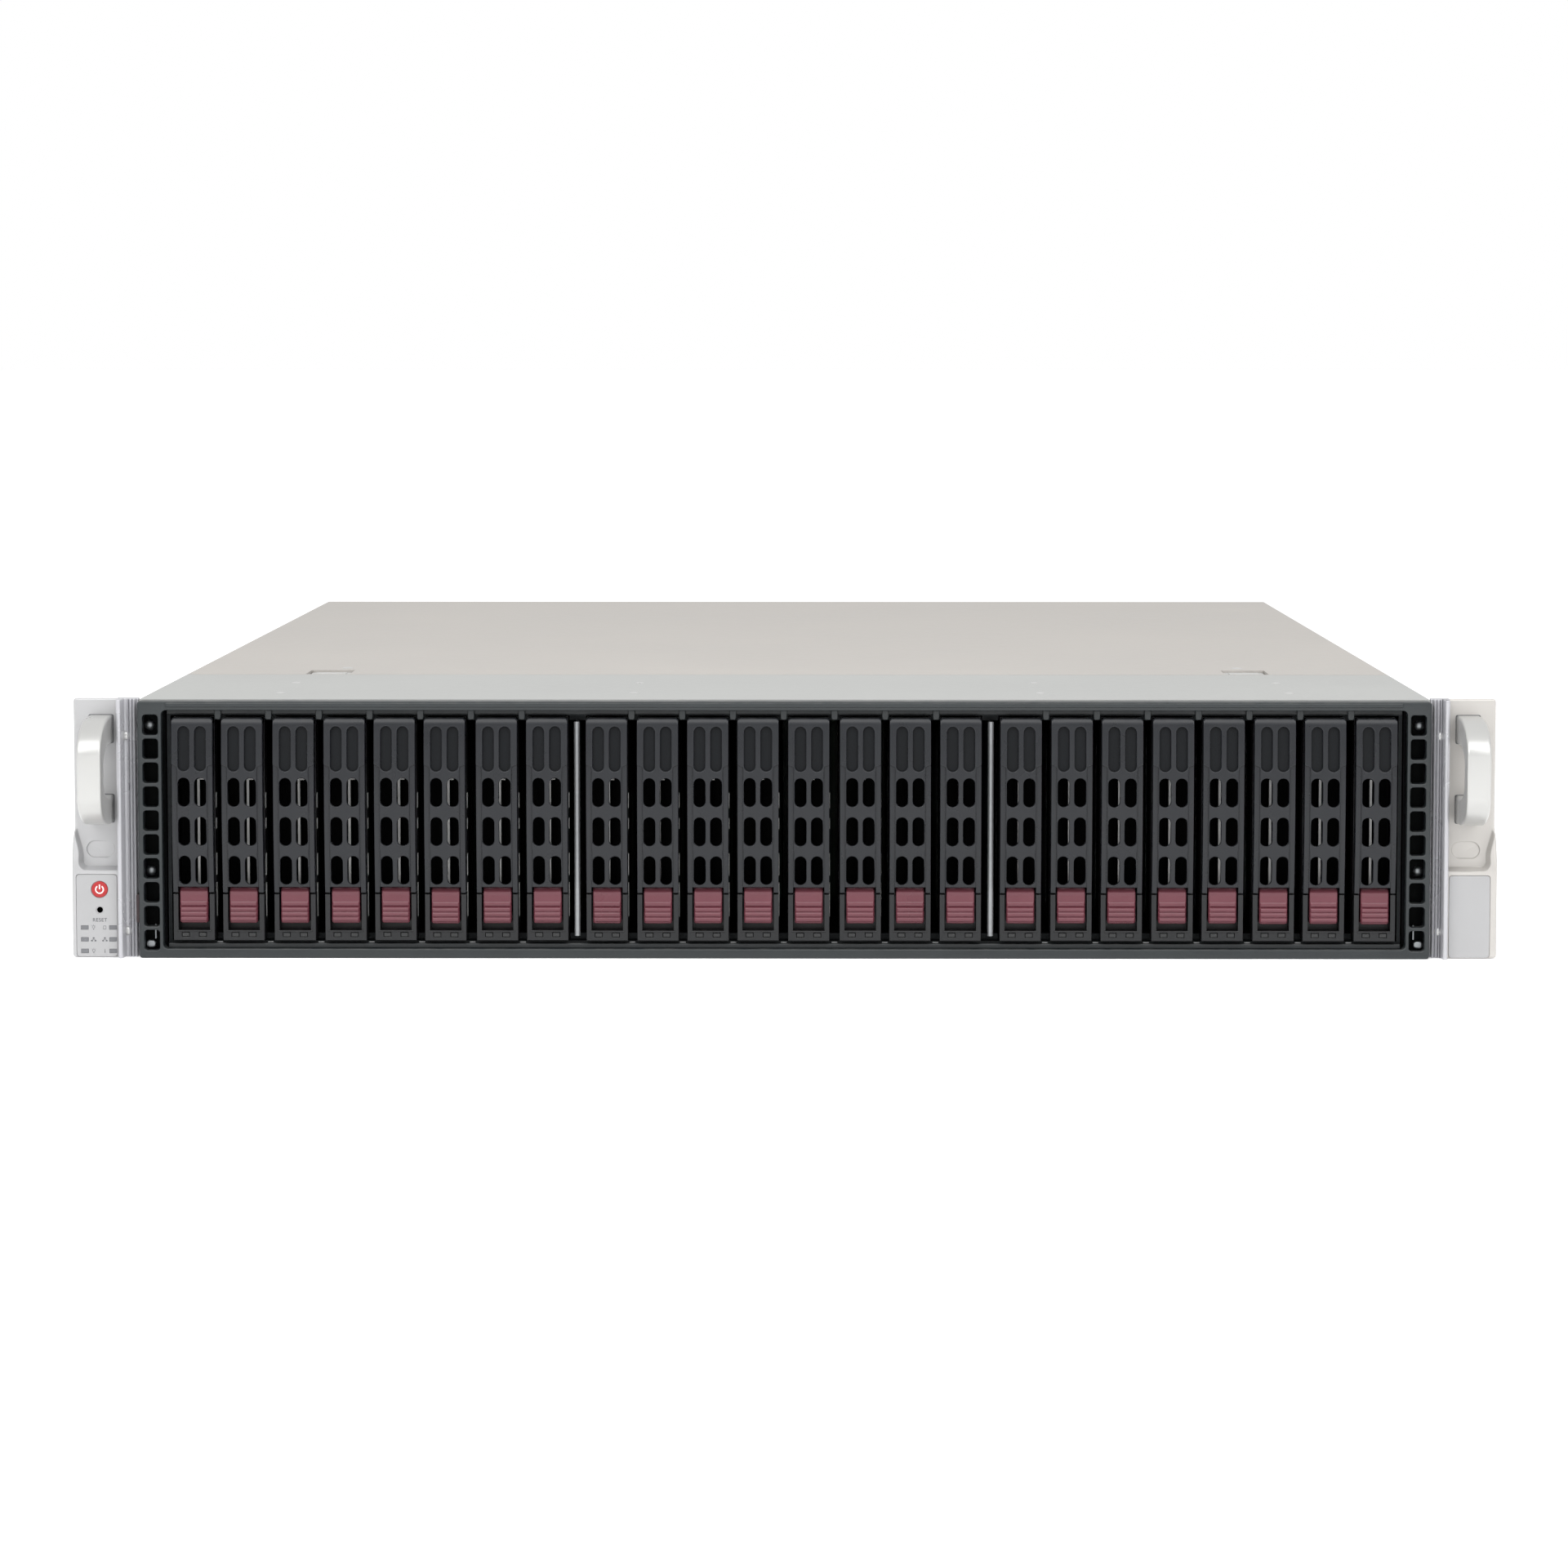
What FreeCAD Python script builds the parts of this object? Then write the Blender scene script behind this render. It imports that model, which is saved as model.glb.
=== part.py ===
"""Two-unit disk shelf enclosure with 24 upright 2.5-inch drive trays.

Row axes: X to the right seen from the front, Y to the rear, Z up.
The origin is on the underside, on the centre line, in the rack plane,
which is the plane of the rear faces of the rack ears. Millimetres.
"""
import FreeCAD, Part
import math
import os
import re
import Sketcher

Vector = FreeCAD.Vector
Rotation = FreeCAD.Rotation

# ---------------------------------------------------------------- sizes
SIZES = {
    "Whole shelf": {
        "rack_width": 482.6,        # across both ears
        "chassis_width": 437.0,
        "chassis_height": 87.6,
        "shelf_depth": 647.7,       # front frame face to rear panel
        "face_lead": 9.5,           # front frame face ahead of the rack plane
        "sheet_gauge": 1.2,
        "slide_gap": 0.4,           # clearance of every sliding piece
    },
    "Drive and tray": {
        "drive_length": 100.45,
        "drive_width": 69.85,
        "drive_thick": 14.8,
        "tray_floor": 5.9,          # underside of a tray above the shelf's
        "rail_height": 3.0,
        "rail_width": 10.8,
        "tray_face_width": 14.0,
        "tray_lead": 11.0,          # foremost line of a lever
        "drive_setback": 26.0,      # from that line to the drive
        "bay_pitch": 17.16,
        "bank_pitch": 140.1,
        "bow_centre": 55.0,         # height of the foremost line
        "bow_radius": 290.0,
    },
    "Tray front": {
        "lever_foot": 24.2,
        "leg_foot": 22.2,
        "lever_wall": 1.5,
        "lever_depth": 5.2,
        "flange_wide": 1.3,
        "flange_top": 73.0,
        "head_foot": 62.6,
        "head_wide": 10.4,
        "bend_low": 36.6,
        "slot_width": 4.0,
        "slot_height": 9.8,
        "slot_spread": 5.6,         # between the two columns
        "slot_pitch": 13.3,
        "slot_first": 30.0,
        "recess_width": 3.8,
        "recess_height": 15.1,
        "recess_foot": 63.7,
        "recess_depth": 0.9,
        "pivot_height": 78.5,
        "pivot_setback": 4.8,
        "pivot_radius": 0.8,
        "pivot_gap": 0.1,
        "arm_half": 1.7,
        "arm_chamfer": 1.15,
        "arm_wide": 1.2,
        "bezel_setback": 2.9,       # lower frame behind the foremost line
        "bezel_split": 21.8,
        "bezel_rear": 1.5,          # behind the rack plane
        "stile_width": 1.75,
        "sill_top": 9.2,
        "post_wide": 1.2,
        "post_depth": 4.0,
        "web_thick": 1.4,
        "web_depth": 8.0,
        "web_top": 59.6,
        "button_width": 9.5,
        "button_foot": 11.9,
        "button_height": 11.9,
        "button_depth": 6.0,
        "rib_height": 1.0,
        "rib_pitch": 2.1,
    },
    "Front frame": {
        "frame_height": 87.3,
        "frame_depth": 6.0,
        "grille_width": 8.1,
        "top_rail": 3.0,
        "bottom_rail": 3.2,
        "vent_width": 5.2,
        "vent_height": 6.95,
        "vent_pitch": 8.13,
        "vent_first": 6.13,
        "vent_inset": 4.3,
        "vent_corner": 1.1,
    },
    "Drive cage": {
        "cage_half": 209.2,
        "cage_floor": 4.4,
        "cage_roof_gap": 0.5,
        "guide_depth": 2.0,
        "divider_thick": 1.0,
        "divider_bead": 2.0,
        "plane_gap": 0.4,           # drive to its connector
        "socket_depth": 4.5,
        "socket_width": 5.4,
        "socket_height": 43.0,
        "board_thick": 2.0,
        "board_slot_width": 6.5,
        "board_slot_height": 14.0,
    },
    "Top": {
        "front_panel_depth": 133.0,
        "cover_seam": 0.6,
        "skirt_drop": 11.0,
        "latch_x": 167.6,
        "latch_width": 16.0,
        "latch_length": 22.0,
        "latch_drop": 2.0,
        "ledge_width": 9.0,
    },
    "Ears and handles": {
        "ear_height": 88.0,
        "ear_thick": 3.5,
        "ear_gap": 1.0,             # ear to front frame
        "ear_corner": 2.0,
        "panel_width": 14.8,
        "ridge_width": 1.5,
        "ridge_lead": 11.0,
        "groove_lead": 5.2,
        "groove_slope": 1.4,
        "flute_width": 0.8,
        "flute_height": 1.2,
        "control_height": 28.7,
        "control_foot": 0.3,
        "control_lead": 8.5,
        "label_width": 13.4,
        "label_sink": 0.4,
        "scoop_radius": 5.0,
        "fin_width": 1.7,
        "fin_top": 44.0,
        "oval_x": 232.5,
        "oval_z": 37.3,
        "oval_width": 9.8,
        "oval_height": 6.0,
        "oval_depth": 1.2,
        "flange_length": 40.0,
        "flange_foot": 3.0,
        "flange_height": 70.0,
        "handle_x": 231.5,
        "handle_width": 8.1,
        "handle_foot": 45.6,
        "handle_height": 37.0,
        "handle_reach": 30.5,
        "handle_root": 11.0,
        "handle_band": 7.5,
        "handle_corner": 11.0,
        "root_sink": 0.6,
        "root_margin": 0.4,
        "power_x": 232.0,
        "power_z": 23.3,
        "power_radius": 2.8,
        "reset_z": 16.3,
        "reset_radius": 1.24,
        "button_length": 2.6,
        "power_travel": 1.0,
        "lamp_width": 2.7,
        "lamp_height": 1.5,
        "lamp_depth": 1.4,
        "lamp_x": 232.45,
        "lamp_spread": 10.1,
        "lamp_pitch": 4.0,
        "lamp_foot": 2.2,
    },
    "Fans": {
        "fan_edge": 3.8,            # above and below each fan
        "fan_depth": 38.0,
        "fan_gap": 21.65,           # fan wall to power distributor
        "fan_pitch": 128.0,
        "fan_rim": 2.0,
        "hub_radius": 19.0,
        "hub_length": 30.0,
        "spindle_radius": 2.5,
        "spindle_proud": 0.6,
        "blade_gap": 1.4,           # blade tip to duct
        "blade_thick": 1.6,
        "blade_chord": 20.0,
        "hub_setback": 3.0,
        "spider_width": 5.0,
        "spider_depth": 3.0,
        "wall_gauge": 1.2,
    },
    "Rear": {
        "psu_width": 76.0,
        "psu_height": 40.0,
        "psu_length": 336.0,
        "psu_proud": 1.0,
        "psu_edge": 2.0,            # tub wall to power supply
        "psu_lift": 1.6,
        "psu_step": 42.0,
        "inlet_width": 27.0,
        "inlet_height": 20.0,
        "inlet_depth": 15.0,
        "inlet_x": 22.0,
        "psu_slot_width": 1.6,
        "psu_slot_height": 28.0,
        "psu_slot_depth": 6.0,
        "psu_slot_pitch": 4.0,
        "grip_x": 38.0,
        "grip_z": 3.0,
        "grip_width": 34.0,
        "grip_bar": 4.0,
        "grip_reach": 26.0,
        "trigger_x": 1.5,
        "trigger_width": 5.0,
        "trigger_height": 12.0,
        "trigger_reach": 9.0,
        "shelf_gauge": 1.0,
        "distributor_length": 60.0,
        "board_length": 200.0,
        "board_width": 220.0,
        "board_left": -20.0,
        "board_lift": 8.0,
        "standoff_width": 6.0,
        "sink_width": 40.0,
        "sink_height": 16.0,
        "port_width": 18.6,
        "port_height": 10.0,
        "port_depth": 45.0,
        "port_pitch": 24.0,
        "port_first_x": 10.0,
        "port_mouth_depth": 14.0,
        "window_gap": 0.8,          # port to its window in the rear panel
        "lan_width": 16.0,
        "lan_height": 13.4,
        "lan_depth": 21.0,
        "lan_x": 120.0,
        "rear_vent_width": 10.0,
        "rear_vent_height": 38.0,
        "rear_vent_pitch": 17.0,
        "rear_vent_foot": 36.0,
        "rear_vent_first": -100.0,
    },
    "Rail fixing": {
        "rail_hole_radius": 1.65,
        "rail_hole_first": 60.0,
        "rail_hole_span": 480.0,
        "rail_hole_z": 30.0,
    },
}

BANKS = 3
BAYS = 8
VENTS = 10
SLOT_ROWS = 3
RIBS = 3
BLADES = 5
FANS = 3
PORTS = 4
REAR_VENTS = 17
PSU_SLOTS = 7
SINK_FINS = 7
WORKING_BAYS = (1, 12, 24)          # bays whose lever and button work

# Places worked out from the sizes.
PLACES = {
    "half": "(chassis_width / 2)",
    "face": "(-face_lead)",
    "rear": "(shelf_depth - face_lead)",
    "frame_rear": "(frame_depth - face_lead)",
    "tub_half": "(chassis_width / 2 - sheet_gauge - slide_gap)",
    "tub_top": "(chassis_height - sheet_gauge - slide_gap)",
    "drive_front": "(drive_setback - tray_lead)",
    "drive_rear": "(drive_setback - tray_lead + drive_length)",
    "drive_foot": "(tray_floor + rail_height)",
    "tray_top": "(tray_floor + 2 * rail_height + drive_width)",
    "face_half": "(tray_face_width / 2)",
    "bezel_face": "(bezel_setback - tray_lead)",
    "post_front": "(bezel_rear - post_depth)",
    "pivot_y": "(pivot_setback - tray_lead)",
    "board_front": "(drive_setback - tray_lead + drive_length"
                   " + plane_gap + socket_depth)",
    "cage_roof": "(tray_floor + 2 * rail_height + drive_width"
                 " + cage_roof_gap)",
    "panel_end": "(front_panel_depth - face_lead)",
    "ear_out": "(rack_width / 2)",
    "ear_in": "(chassis_width / 2 + ear_gap)",
    "ridge_out": "(rack_width / 2 - panel_width)",
    "ridge_in": "(rack_width / 2 - panel_width - ridge_width)",
    "fan_size": "(chassis_height - 2 * fan_edge)",
    "fan_bore": "(fan_size - 2 * fan_rim)",
    "blade_reach": "(fan_bore / 2 - blade_gap)",
    "fan_front": "(rear + psu_proud - psu_length - distributor_length"
                 " - fan_gap - wall_gauge - fan_depth)",
    "fan_mid_z": "(chassis_height / 2)",
    "psu_left": "(sheet_gauge * 2 + slide_gap + psu_edge"
                " - chassis_width / 2)",
}

doc = FreeCAD.newDocument("disk_shelf")
sheet = doc.addObject("Spreadsheet::Sheet", "Sizes")


def fill_sheet():
    """One row per size: its name beside its value, under group headings."""
    row = 0
    for group, sizes in SIZES.items():
        row += 1
        sheet.set(f"A{row}", group)
        for name, size in sizes.items():
            row += 1
            sheet.set(f"A{row}", name)
            sheet.set(f"B{row}", str(size))
            sheet.setAlias(f"B{row}", name)
    doc.recompute()


fill_sheet()
NAMES = {name for sizes in SIZES.values() for name in sizes}


def tied(text):
    """An expression whose size and place names refer to the sheet."""
    def refer(match):
        word = match.group()
        if word in PLACES:
            return tied(PLACES[word])
        return "Sizes." + word if word in NAMES else word
    return re.sub(r"[a-z][a-z_0-9]*", refer, str(text))


def value(text):
    """The number that an expression gives now."""
    result = sheet.evalExpression(tied(text))
    return float(getattr(result, "Value", result))


# -------------------------------------------------------------- helpers
def place(thing, x="0", y="0", z="0"):
    """Tie an object's position to the sheet."""
    for axis, text in zip("xyz", (x, y, z)):
        thing.setExpression("Placement.Base." + axis, tied(text))
    return thing


def block(name, x, y, z):
    """A box between two ends on each axis."""
    solid = doc.addObject("Part::Box", name)
    sides = (("Length", x), ("Width", y), ("Height", z))
    for side, (low, high) in sides:
        solid.setExpression(side, tied(f"({high}) - ({low})"))
    return place(solid, x[0], y[0], z[0])


TURNS = {
    "x": Rotation(Vector(0, 1, 0), 90),
    "y": Rotation(Vector(1, 0, 0), -90),
    "z": Rotation(),
}


def rod(name, axis, radius, start, length):
    """A cylinder from a start point along an axis."""
    solid = doc.addObject("Part::Cylinder", name)
    solid.Placement = FreeCAD.Placement(Vector(), TURNS[axis])
    solid.setExpression("Radius", tied(radius))
    solid.setExpression("Height", tied(length))
    return place(solid, *start)


def drum(name, sides, radius, start, length):
    """An upright-sided polygon along Y, for rings that repeat."""
    solid = doc.addObject("Part::Prism", name)
    solid.Placement = FreeCAD.Placement(Vector(), TURNS["y"])
    solid.Polygon = sides
    solid.setExpression("Circumradius", tied(radius))
    solid.setExpression("Height", tied(length))
    return place(solid, *start)


def fuse(name, parts):
    """One solid from several."""
    whole = doc.addObject("Part::MultiFuse", name)
    whole.Shapes = parts
    whole.Refine = True
    return whole


def cut(name, base, tools):
    """A solid less its tools."""
    rest = doc.addObject("Part::Cut", name)
    rest.Base = base
    rest.Tool = tools[0] if len(tools) == 1 else fuse(name + "_tools", tools)
    return rest


def group(name, parts):
    """Separate solids that make one sub-part."""
    held = doc.addObject("Part::Compound", name)
    held.Links = parts
    return held


def mirrored(name, thing):
    """The same piece on the other side of the centre line."""
    copy = doc.addObject("Part::Mirroring", name)
    copy.Source = thing
    copy.Normal = Vector(1, 0, 0)
    return copy


def origin_plane(body, role):
    return next(o for o in body.Origin.OriginFeatures if o.Role == role)


# Each plane's sketch axes, and the sign of its normal along the third axis.
NORMALS = {"XY_Plane": 1, "XZ_Plane": -1, "YZ_Plane": 1}


def outline(body, name, plane, loops, start):
    """A sketch of closed polygons, every corner tied to the sheet."""
    sketch = body.newObject("Sketcher::SketchObject", name)
    sketch.AttachmentSupport = [(origin_plane(body, plane), "")]
    sketch.MapMode = "FlatFace"
    offset = tied(f"{NORMALS[plane]} * ({start})")
    sketch.setExpression("AttachmentOffset.Base.z", offset)
    for points in loops:
        first = sketch.GeometryCount
        spots = [Vector(value(u), value(v), 0) for u, v in points]
        count = len(points)
        for n in range(count):
            line = Part.LineSegment(spots[n], spots[(n + 1) % count])
            sketch.addGeometry(line)
        for n, (u, v) in enumerate(points):
            line = first + n
            after = first + (n + 1) % count
            join = Sketcher.Constraint("Coincident", line, 2, after, 1)
            sketch.addConstraint(join)
            for kind, text, at in (("DistanceX", u, spots[n].x),
                                   ("DistanceY", v, spots[n].y)):
                fix = Sketcher.Constraint(kind, -1, 1, line, 1, at)
                index = sketch.addConstraint(fix)
                sketch.setExpression(f"Constraints[{index}]", tied(text))
    return sketch


def pad(body, name, plane, points, low, high):
    """Material over a polygon, from low to high along the third axis."""
    start = low if NORMALS[plane] > 0 else high
    sketch = outline(body, name + "_sketch", plane, [points], start)
    feature = body.newObject("PartDesign::Pad", name)
    feature.Profile = sketch
    feature.setExpression("Length", tied(f"({high}) - ({low})"))
    return feature


def pocket(body, name, plane, loops, low, high):
    """Hollows under polygons, from low to high along the third axis."""
    start = high if NORMALS[plane] > 0 else low
    sketch = outline(body, name + "_sketch", plane, loops, start)
    feature = body.newObject("PartDesign::Pocket", name)
    feature.Profile = sketch
    feature.setExpression("Length", tied(f"({high}) - ({low})"))
    return feature


def repeat(body, name, feature, axis, pitch, count):
    """A feature repeated along one of the body's own axes."""
    pattern = body.newObject("PartDesign::LinearPattern", name)
    pattern.Originals = [feature]
    pattern.Direction = (origin_plane(body, axis), [""])
    pattern.Mode = "Spacing"
    pattern.setExpression("Offset", tied(pitch))
    pattern.Occurrences = count
    body.Tip = pattern
    return pattern


def rectangle(u, v):
    """The four corners between two ends on each sketch axis."""
    return [(u[0], v[0]), (u[1], v[0]), (u[1], v[1]), (u[0], v[1])]


def clipped(u, v, corner):
    """A rectangle whose corners are cut off."""
    left, right = u
    low, high = v
    return [(f"{left} + {corner}", low), (f"{right} - {corner}", low),
            (right, f"{low} + {corner}"), (right, f"{high} - {corner}"),
            (f"{right} - {corner}", high), (f"{left} + {corner}", high),
            (left, f"{high} - {corner}"), (left, f"{low} + {corner}")]


def around(middle, width):
    """The two ends of a width about a middle."""
    return (f"({middle} - ({width}) / 2)", f"({middle} + ({width}) / 2)")


def bevel(body, name, edges, size, kind="PartDesign::Chamfer"):
    """Chamfer or round the edges that a test picks."""
    doc.recompute()
    base = body.Tip
    found = [f"Edge{n}" for n, edge in enumerate(base.Shape.Edges, 1)
             if edges(edge)]
    feature = body.newObject(kind, name)
    feature.Base = (base, found)
    side = "Size" if kind.endswith("Chamfer") else "Radius"
    feature.setExpression(side, tied(size))
    return feature


def new_body(name):
    return doc.addObject("PartDesign::Body", name)


PARTS = []


def keep(label, thing):
    """List a finished sub-part under the name of its file."""
    thing.Label = label
    PARTS.append(thing)
    return thing


# ----------------------------------------------------------- drive tray
def bowed(height, inward="0"):
    """How far forward the bowed tray front is at a height."""
    return (f"({inward} - tray_lead"
            f" + ({height} - bow_centre)^2 / (2 * bow_radius))")


def lever_profile(inward, foot, top):
    """Front line of the lever, faceted at its two shallow bends."""
    heights = (foot, "bend_low", "head_foot", top)
    return [(bowed(at, inward), at) for at in heights]


def make_lever(name, working):
    """Moulded pull lever: slotted bowed wall, side flanges, hinge head."""
    body = new_body(name)
    front = lever_profile("0", "leg_foot", "tray_top")
    back = "(lever_depth - tray_lead)"
    shell = front + [(back, "tray_top"), (back, "leg_foot")]
    pad(body, name + "_shell", "YZ_Plane", shell,
        "-face_half", "face_half")
    inner_half = "(face_half - flange_wide)"
    inside = lever_profile("lever_wall", "leg_foot - 1", "head_foot")[:3]
    inside += [(f"{back} + 1", "head_foot"), (f"{back} + 1", "leg_foot - 1")]
    pocket(body, name + "_hollow", "YZ_Plane", [inside],
           f"-{inner_half}", inner_half)
    notch = rectangle((f"-{inner_half}", inner_half),
                      ("leg_foot - 1", "lever_foot"))
    pocket(body, name + "_foot", "XZ_Plane", [notch],
           "-tray_lead - 1", f"{back} + 1")
    if working:
        head_half = "(head_wide / 2)"
        cheek = ("flange_top", "tray_top + 1")
        sides = [rectangle(("-face_half - 1", f"-{head_half}"), cheek),
                 rectangle((head_half, "face_half + 1"), cheek)]
        pocket(body, name + "_cheeks", "XZ_Plane", sides,
               bowed("flange_top", "lever_wall + 0.9"), f"{back} + 1")
    row = around("slot_first", "slot_height")
    slots = [rectangle(around(f"{side} * slot_spread / 2", "slot_width"),
                       row) for side in (-1, 1)]
    cutter = pocket(body, name + "_slots", "XZ_Plane", slots,
                    "-tray_lead - 1", f"{back} + 1")
    repeat(body, name + "_rows", cutter, "Z_Axis", "slot_pitch", SLOT_ROWS)
    recess = ("recess_foot", "recess_foot + recess_height")
    dents = [rectangle(around(f"{side} * slot_spread / 2", "recess_width"),
                       recess) for side in (-1, 1)]
    pocket(body, name + "_recesses", "XZ_Plane", dents, "-tray_lead - 1",
           bowed("recess_foot + recess_height", "recess_depth"))
    if not working:
        return body
    bore = rod(name + "_bore", "x", "pivot_radius + pivot_gap",
               ("-face_half", "pivot_y", "pivot_height"), "2 * face_half")
    return cut(name + "_bored", body, [bore])


def make_button():
    """Release button with a bevelled top and grip ribs low on its face."""
    body = new_body("release_button")
    top = "(button_foot + button_height)"
    skin = "bezel_face"
    back = f"({skin} + button_depth)"
    points = [(back, "button_foot"), (back, top), (f"{skin} + 1.2", top),
              (skin, f"{top} - 1.2")]
    for rib in range(RIBS, 0, -1):
        crest = f"button_foot + {rib} * rib_pitch"
        points += [(skin, crest),
                   (f"{skin} - rib_height", f"{crest} - rib_pitch / 2")]
    points.append((skin, "button_foot"))
    pad(body, "release_button_pad", "YZ_Plane", points,
        "-button_width / 2", "button_width / 2")
    return body


def make_carrier(name, working):
    """Tray frame: bezel with button well, posts, hinge arms, two rails."""
    rails = []
    reach = ("post_front", "drive_rear")
    width = ("-rail_width / 2", "rail_width / 2")
    rails.append(block(name + "_bottom_rail", width, reach,
                       ("tray_floor", "drive_foot")))
    rails.append(block(name + "_top_rail", width, reach,
                       ("tray_top - rail_height", "tray_top")))
    rails.append(block(name + "_cap", ("-face_half", "face_half"),
                       ("post_front", "bezel_rear"),
                       ("tray_top - rail_height", "tray_top")))
    body = new_body(name + "_bezel")
    depth = ("bezel_face", "bezel_rear")
    pad(body, name + "_plate", "XZ_Plane",
        rectangle(("-face_half", "face_half"), ("tray_floor", "bezel_split")),
        *depth)
    well = rectangle(("-face_half + stile_width", "face_half - stile_width"),
                     ("sill_top", "bezel_split + 1"))
    pocket(body, name + "_well", "XZ_Plane", [well], "bezel_face - 1",
           "bezel_face + button_depth + slide_gap")
    arms = []
    for side in (-1, 1):
        word = "left" if side < 0 else "right"
        low = "-face_half" if side < 0 else "face_half - post_wide"
        span = (low, f"{low} + post_wide")
        arms.append(block(f"{name}_{word}_post", span,
                          ("post_front", "bezel_rear"),
                          ("bezel_split", "tray_top")))
        if not working:
            continue
        arm = new_body(f"{name}_{word}_arm")
        tip = "(pivot_y - arm_half)"
        low_z = "(pivot_height - arm_half)"
        high_z = "(pivot_height + arm_half)"
        points = [("post_front", low_z), ("post_front", high_z),
                  (f"{tip} + arm_chamfer", high_z),
                  (tip, f"{high_z} - arm_chamfer"),
                  (tip, f"{low_z} + arm_chamfer"),
                  (f"{tip} + arm_chamfer", low_z)]
        pad(arm, f"{name}_{word}_arm_pad", "YZ_Plane", points, *span)
        arms.append(arm)
    parts = rails + [body] + arms
    if working:
        parts.append(rod(name + "_pin", "x", "pivot_radius",
                         ("-face_half", "pivot_y", "pivot_height"),
                         "2 * face_half"))
    return fuse(name, parts)


def bay_x(bay):
    """Middle of a bay, counted from 1 at the left."""
    bank = (bay - 1) // BAYS - (BANKS - 1) / 2
    place_in_bank = (bay - 1) % BAYS - (BAYS - 1) / 2
    return f"({bank} * bank_pitch + {place_in_bank} * bay_pitch)"


def make_trays():
    drive = block("drive", ("-drive_thick / 2", "drive_thick / 2"),
                  ("drive_front", "drive_rear"),
                  ("drive_foot", "drive_foot + drive_width"))
    web = block("air_web", ("-web_thick / 2", "web_thick / 2"),
                ("drive_front - web_depth", "drive_front"),
                ("drive_foot", "web_top"))
    button = make_button()
    plain = [make_carrier("carrier", False), web, drive,
             make_lever("lever", False), button]
    pinned = make_carrier("carrier_pinned", True)
    bored = make_lever("lever_hinged", True)
    for bay in range(1, BANKS * BAYS + 1):
        working = bay in WORKING_BAYS
        solids = [pinned, web, drive] if working else plain
        label = f"drive_tray_{bay:02d}"
        keep(label, place(group(label, solids), bay_x(bay)))
        if working:
            label = f"release_lever_{bay:02d}"
            keep(label, place(group(label, [bored]), bay_x(bay)))
            label = f"release_button_{bay:02d}"
            keep(label, place(group(label, [button]), bay_x(bay)))


make_trays()


# ---------------------------------------------------------- front frame
def make_front_frame():
    """Moulded frame round the bays, with a vent strip down each side."""
    body = new_body("frame_body")
    depth = ("face", "frame_rear")
    pad(body, "frame_plate", "XZ_Plane",
        rectangle(("-half", "half"), ("0", "frame_height")), *depth)
    inner = "(half - grille_width)"
    opening = rectangle((f"-{inner}", inner),
                        ("bottom_rail", "frame_height - top_rail"))
    pocket(body, "frame_opening", "XZ_Plane", [opening],
           "face - 1", "frame_rear + 1")
    row = around("vent_first", "vent_height")
    vents = [clipped(around(f"{side} * (half - vent_inset)", "vent_width"),
                     row, "vent_corner * 0.6") for side in (-1, 1)]
    cutter = pocket(body, "frame_vents", "XZ_Plane", vents,
                    "face - 1", "frame_rear + 1")
    repeat(body, "frame_vent_rows", cutter, "Z_Axis", "vent_pitch", VENTS)
    return body


keep("front_frame", make_front_frame())


# --------------------------------------------------------------- chassis
def make_tub():
    """Folded sheet tub: floor, two sides and their inward top ledges."""
    length = ("frame_rear", "rear - sheet_gauge")
    floor = block("tub_floor", ("-tub_half", "tub_half"), length,
                  ("0", "sheet_gauge"))
    parts = [floor]
    for side in (-1, 1):
        word = "left" if side < 0 else "right"
        outer = "-tub_half" if side < 0 else "tub_half - sheet_gauge"
        parts.append(block(f"tub_{word}_side",
                           (outer, f"{outer} + sheet_gauge"), length,
                           ("sheet_gauge", "tub_top")))
        inner = ("-tub_half + sheet_gauge" if side < 0
                 else "tub_half - sheet_gauge - ledge_width")
        parts.append(block(f"tub_{word}_ledge",
                           (inner, f"{inner} + ledge_width"),
                           ("panel_end", "rear - sheet_gauge"),
                           ("tub_top - sheet_gauge", "tub_top")))
    holes = []
    for n in (0, 1):
        at = f"rail_hole_first + {n} * rail_hole_span"
        holes.append(rod(f"rail_holes_{n}", "x", "rail_hole_radius",
                         ("-half", at, "rail_hole_z"), "2 * half"))
    return cut("tub", fuse("tub_folded", parts), holes)


keep("chassis_tub", make_tub())


def make_lid(name, start, end):
    """Flat top sheet with a skirt down each side."""
    sheet_z = ("chassis_height - sheet_gauge", "chassis_height")
    top = block(name + "_sheet", ("-half", "half"), (start, end), sheet_z)
    parts = [top]
    for side in (-1, 1):
        word = "left" if side < 0 else "right"
        outer = "-half" if side < 0 else "half - sheet_gauge"
        parts.append(block(f"{name}_{word}_skirt",
                           (outer, f"{outer} + sheet_gauge"), (start, end),
                           ("chassis_height - skirt_drop",
                            "chassis_height - sheet_gauge")))
    return fuse(name + "_folded", parts)


keep("front_top_panel", make_lid("front_panel", "frame_rear", "panel_end"))


def make_cover():
    lid = make_lid("cover", "panel_end + cover_seam", "rear")
    wells = []
    for side in (-1, 1):
        word = "left" if side < 0 else "right"
        wells.append(block(f"cover_{word}_well",
                           around(f"{side} * latch_x", "latch_width"),
                           ("panel_end + cover_seam + 2",
                            "panel_end + cover_seam + 2 + latch_length"),
                           ("chassis_height - sheet_gauge - 1",
                            "chassis_height + 1")))
    return cut("cover_welled", lid, wells)


keep("top_cover", make_cover())


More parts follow.
